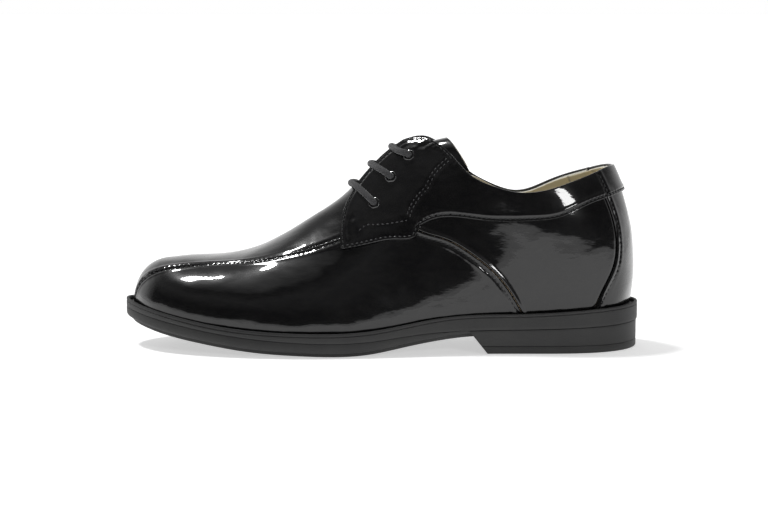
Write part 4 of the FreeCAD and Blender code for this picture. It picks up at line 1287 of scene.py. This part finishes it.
TOP_PIECE_RINGS = [(HEEL_INSET + 1.0, flat, 0), (HEEL_INSET + .3, flat, .14),
                   (HEEL_INSET, flat, .6), (HEEL_INSET, flat, TOP_PIECE - .5),
                   (HEEL_INSET + .14, flat, TOP_PIECE - .12),
                   (HEEL_INSET + .5, flat, TOP_PIECE - .02)]


def closed_outline(points, count):
    """Smooth closed curve through plan points, evenly spaced, with its inward normals."""
    ring = np.array(points[-WRAP:] + points + points[:WRAP + 1], float)
    steps = np.sqrt(np.linalg.norm(np.diff(ring, axis=0), axis=1))
    reach = np.concatenate([[0], np.cumsum(steps)])
    x_of = spline(reach, ring[:, 0])
    y_of = spline(reach, ring[:, 1])
    fine = np.linspace(reach[WRAP], reach[WRAP + len(points)], OUTLINE_FINE)
    line = np.stack([x_of(fine), y_of(fine)], axis=1)
    lengths = reach_of(line)
    at = np.arange(count) / count * lengths[-1]
    even = np.stack([np.interp(at, lengths, line[:, k]) for k in (0, 1)], axis=1)
    ahead = unit(np.roll(even, -1, axis=0) - np.roll(even, 1, axis=0))
    return even, np.stack([-ahead[:, 1], ahead[:, 0]], axis=1)


def loft(name, outline, rings, material):
    """Closed solid from rings round the outline, its end faces shrunk to the middle line."""
    edge, inward = outline

    def row_of(place, line, amount):
        return np.column_stack([place, line(np.minimum(place[:, 0], LINES_END)) + amount])

    def cap(row, line, amount):
        spine = np.column_stack([np.clip(row[:, 0], -SPINE_END, SPINE_END),
                                 np.full(len(row), SPINE_Y)])
        return [row_of(spine + (row[:, :2] - spine) * share, line, amount)
                for share in CAP_SHARES]

    rows = [row_of(edge + inward * inset, line, amount) for inset, line, amount in rings]
    rows = cap(rows[0], *rings[0][1:])[::-1] + rows + cap(rows[-1], *rings[-1][1:])
    count = len(edge)
    faces = grid_faces(len(rows), count, closed=True)
    for start in (0, (len(rows) - 1) * count):
        for k in range(count // 2):
            ring = (start + k, start + k + 1, start + (count - k - 1) % count,
                    start + (count - k) % count)
            faces.append(list(dict.fromkeys(ring)))
    return finish_mesh(name, mesh_of(name, np.concatenate(rows), faces), material)


def slice_off(obj, keep_behind, x_top, z_top, x_foot):
    """Cuts the piece on a plane across the shoe through two (x, z) points and closes the cut."""
    lean = Vector((x_foot - x_top, 0, -z_top)).normalized()
    normal = Vector((0, 1, 0)).cross(lean)
    if (normal.x < 0) != keep_behind:
        normal = -normal
    work = bmesh.new()
    work.from_mesh(obj.data)
    geometry = work.verts[:] + work.edges[:] + work.faces[:]
    result = bmesh.ops.bisect_plane(work, geom=geometry, plane_no=normal, clear_outer=True,
                                    plane_co=Vector((x_top, 0, z_top)) * UNIT)
    edges = [e for e in result["geom_cut"] if isinstance(e, bmesh.types.BMEdge)]
    bmesh.ops.holes_fill(work, edges=edges, sides=0)
    bmesh.ops.recalc_face_normals(work, faces=work.faces)
    for edge in edges:
        edge.smooth = False
    work.to_mesh(obj.data)
    work.free()


def rib_cutters(edge):
    """Blocks for the grooves across the tread; each stops short of the tread's two sides."""
    blocks = []
    faces = [[0, 1, 2, 3], [7, 6, 5, 4]] + [[i, 4 + i, 4 + (i + 1) % 4, (i + 1) % 4]
                                            for i in range(4)]
    for k in range(RIB_COUNT):
        x0 = RIB_START + k * RIB_PITCH
        x1 = x0 + RIB_GROOVE
        roof = float(WALL_FOOT((x0 + x1) / 2)) - TREAD_STEP + RIB_DEPTH
        section = [(x0 - RIB_DRAFT, RIB_BELOW), (x1 + RIB_DRAFT, RIB_BELOW),
                   (x1 - RIB_DRAFT, roof), (x0 + RIB_DRAFT, roof)]
        beside = edge[abs(edge[:, 0] - x0) < RIB_REACH, 1]
        ends = (beside.min() + RIB_MARGIN, beside.max() - RIB_MARGIN)
        blocks.append(([(x, y, z) for y in ends for x, z in section], faces))
    mesh = mesh_of("rib_cutters", *joined(blocks))
    work = bmesh.new()
    work.from_mesh(mesh)
    bmesh.ops.recalc_face_normals(work, faces=work.faces)
    work.to_mesh(mesh)
    work.free()
    return linked("rib_cutters", mesh)


def sole_pieces():
    """Rand, tread, heel and its top piece, all on one outline."""
    outline = closed_outline(SOLE_PLAN, OUTLINE_POINTS)
    loft("midsole_rand", outline, RAND_RINGS, RUBBER)
    tread = loft("outsole", outline, TREAD_RINGS, RUBBER)
    top_z = float(PARTING(HEEL_BREAST_TOP))
    slice_off(tread, False, HEEL_BREAST_TOP - BREAST_GAP, top_z, HEEL_BREAST_FOOT - BREAST_GAP)
    cut(tread, rib_cutters(outline[0]))
    for name, rings in (("heel_block", HEEL_RINGS), ("heel_top_piece", TOP_PIECE_RINGS)):
        slice_off(loft(name, outline, rings, RUBBER), True, HEEL_BREAST_TOP, top_z,
                  HEEL_BREAST_FOOT)


SOCK_CLEARANCE = 0.35             # inside the lining
FOAM_LEVELS = (1.90, 3.90)        # low and high faces above the seat of the insole board
SOCK_LEVELS = (3.95, 4.75)
INSOLE_STOPS = 12                 # on each side
INSOLE_ROUND = 0.6
INSOLE_EASE = 0.1


def insole_pieces():
    """Foam and sock on the insole board, rounded at their edges."""
    where = np.arange(INSOLE_STOPS) / INSOLE_STOPS
    stops = [(LATERAL, s) for s in where] + [(LATERAL, 1.0)] + [(MEDIAL, s) for s in where[:0:-1]]
    ring = [(float(FEATHER_X(s)), float(FEATHER_Y[side](s))) for side, s in stops]
    outline = closed_outline(ring, OUTLINE_POINTS)
    inset = SOCK_CLEARANCE - LINING_INNER
    for name, levels, material in (("insole_foam", FOAM_LEVELS, FOAM),
                                   ("sock_lining", SOCK_LEVELS, LINING)):
        low, high = (level - RIM_HEIGHT for level in levels)
        half = [(inset + INSOLE_ROUND, 0), (inset + INSOLE_EASE, INSOLE_EASE)]
        rings = ([(x, SOLE_TOP, low + z) for x, z in half] + [(inset, SOLE_TOP, (low + high) / 2)]
                 + [(x, SOLE_TOP, high - z) for x, z in half[::-1]])
        piece = loft(name, outline, rings, material)


def carried_over():
    """The hard hidden CAD nodes keep their shape and get a worked material."""
    for name, material in (("insole_board", BOARD), ("bottom_filler", FOAM), ("shank", STEEL)):
        obj = frame["nodes"][name]
        obj.data.materials.clear()
        obj.data.materials.append(material)


outer_leather()
outer_stitches()
inner_pieces()
for eyelet_side, eyelet_name in SIDES.items():
    eyelets(eyelet_side, eyelet_name)
lace()
sole_pieces()
insole_pieces()
carried_over()


# ---- studio
FLOOR_HALF = 60.0                 # metres
FLOOR_GLOW = 0.52


def floor():
    """Wide pale floor that gives out some light, so that it fades into the white behind."""
    material, tree, shader = nodes_of("studio_floor")
    cloud = texture(tree, NOISE, 0.002)
    tree.links.new(ramp(tree, cloud, (.90, .90, .90), (.92, .92, .92)),
                   shader.inputs["Base Color"])
    set_inputs(shader, {"Roughness": 0.8, "Specular IOR Level": 0.1,
                        "Emission Color": (1, 1, 1, 1), "Emission Strength": FLOOR_GLOW})
    mesh = bpy.data.meshes.new("floor")
    corners = [(x * FLOOR_HALF, y * FLOOR_HALF, 0) for x, y in ((-1, -1), (1, -1), (1, 1), (-1, 1))]
    mesh.from_pydata(corners, [], [[0, 1, 2, 3]])
    mesh.materials.append(material)
    linked("floor", mesh)


# brightness against height, from the horizon at 0 to straight up at 1
WORLD_FRONT = [(0.0, 1.0), (0.06, 0.9), (0.10, 0.03), (0.45, 0.03), (0.72, 0.16), (0.86, 0.03),
               (0.98, 0.5)]
WORLD_BACK = [(0.0, 1.0), (0.45, 0.95), (0.80, 0.20), (1.0, 0.4)]
WORLD_TURN = (0.05, 0.60)         # the y of a direction over which front gives way to back


def world():
    """White horizon; above it a faint band in the dark on the camera's side, bright behind."""
    studio = bpy.data.worlds.new("studio")
    bpy.context.scene.world = studio
    studio.use_nodes = True
    tree = studio.node_tree
    place = tree.nodes.new("ShaderNodeTexCoord")
    split = tree.nodes.new("ShaderNodeSeparateXYZ")
    tree.links.new(place.outputs["Generated"], split.inputs["Vector"])
    share = tree.nodes.new("ShaderNodeMapRange")
    share.interpolation_type = "SMOOTHSTEP"
    set_inputs(share, {"From Min": WORLD_TURN[0], "From Max": WORLD_TURN[1]})
    tree.links.new(split.outputs["Y"], share.inputs["Value"])
    mix = tree.nodes.new("ShaderNodeMix")
    mix.data_type = "RGBA"
    tree.links.new(share.outputs["Result"], mix.inputs["Factor"])
    for socket, stops in (("A", WORLD_FRONT), ("B", WORLD_BACK)):
        node = tree.nodes.new("ShaderNodeValToRGB")
        while len(node.color_ramp.elements) < len(stops):
            node.color_ramp.elements.new(0.5)
        for element, (position, value) in zip(node.color_ramp.elements, stops):
            element.position = position
            element.color = (value, value, value, 1)
        tree.links.new(split.outputs["Z"], node.inputs["Fac"])
        sockets = [i for i in mix.inputs if i.name == socket and i.type == "RGBA"]
        tree.links.new(node.outputs["Color"], sockets[0])
    result = next(o for o in mix.outputs if o.type == "RGBA")
    tree.links.new(result, tree.nodes["Background"].inputs["Color"])


def lamp(name, elevation, azimuth, spread_degrees, strength):
    """A round lamp far off, as wide as its spread; azimuth 0 is the camera's side."""
    light = bpy.data.lights.new(name, "SUN")
    light.angle = math.radians(spread_degrees)
    light.energy = strength
    up = math.radians(elevation)
    turn = math.radians(azimuth)
    source = Vector((math.sin(turn) * math.cos(up), -math.cos(turn) * math.cos(up), math.sin(up)))
    linked(name, light).rotation_euler = source.to_track_quat("Z", "Y").to_euler()


# for a shoe at the size of the tables, in metres and degrees
CAMERA_PLACE = Vector((0.0012, -0.976, 0.156))
CAMERA_DOWN = 6.69
CAMERA_LENS = 98.25               # mm
SENSOR_WIDTH = 36.0


def camera():
    """Level with the middle of the shoe, a metre off, looking slightly down at its lateral side."""
    lens = bpy.data.cameras.new("camera")
    lens.lens = CAMERA_LENS
    lens.sensor_width = SENSOR_WIDTH
    lens.dof.use_dof = False
    obj = linked("camera", lens)
    obj.location = CAMERA_PLACE * (UNIT * 1000)
    obj.rotation_euler = (math.radians(90 - CAMERA_DOWN), 0, 0)
    bpy.context.scene.camera = obj


floor()
world()
camera()
lamp("overhead", elevation=67, azimuth=-116, spread_degrees=8, strength=1.7)
lamp("front", elevation=24, azimuth=28, spread_degrees=9, strength=0.40)
bpy.context.scene.view_settings.view_transform = "Standard"
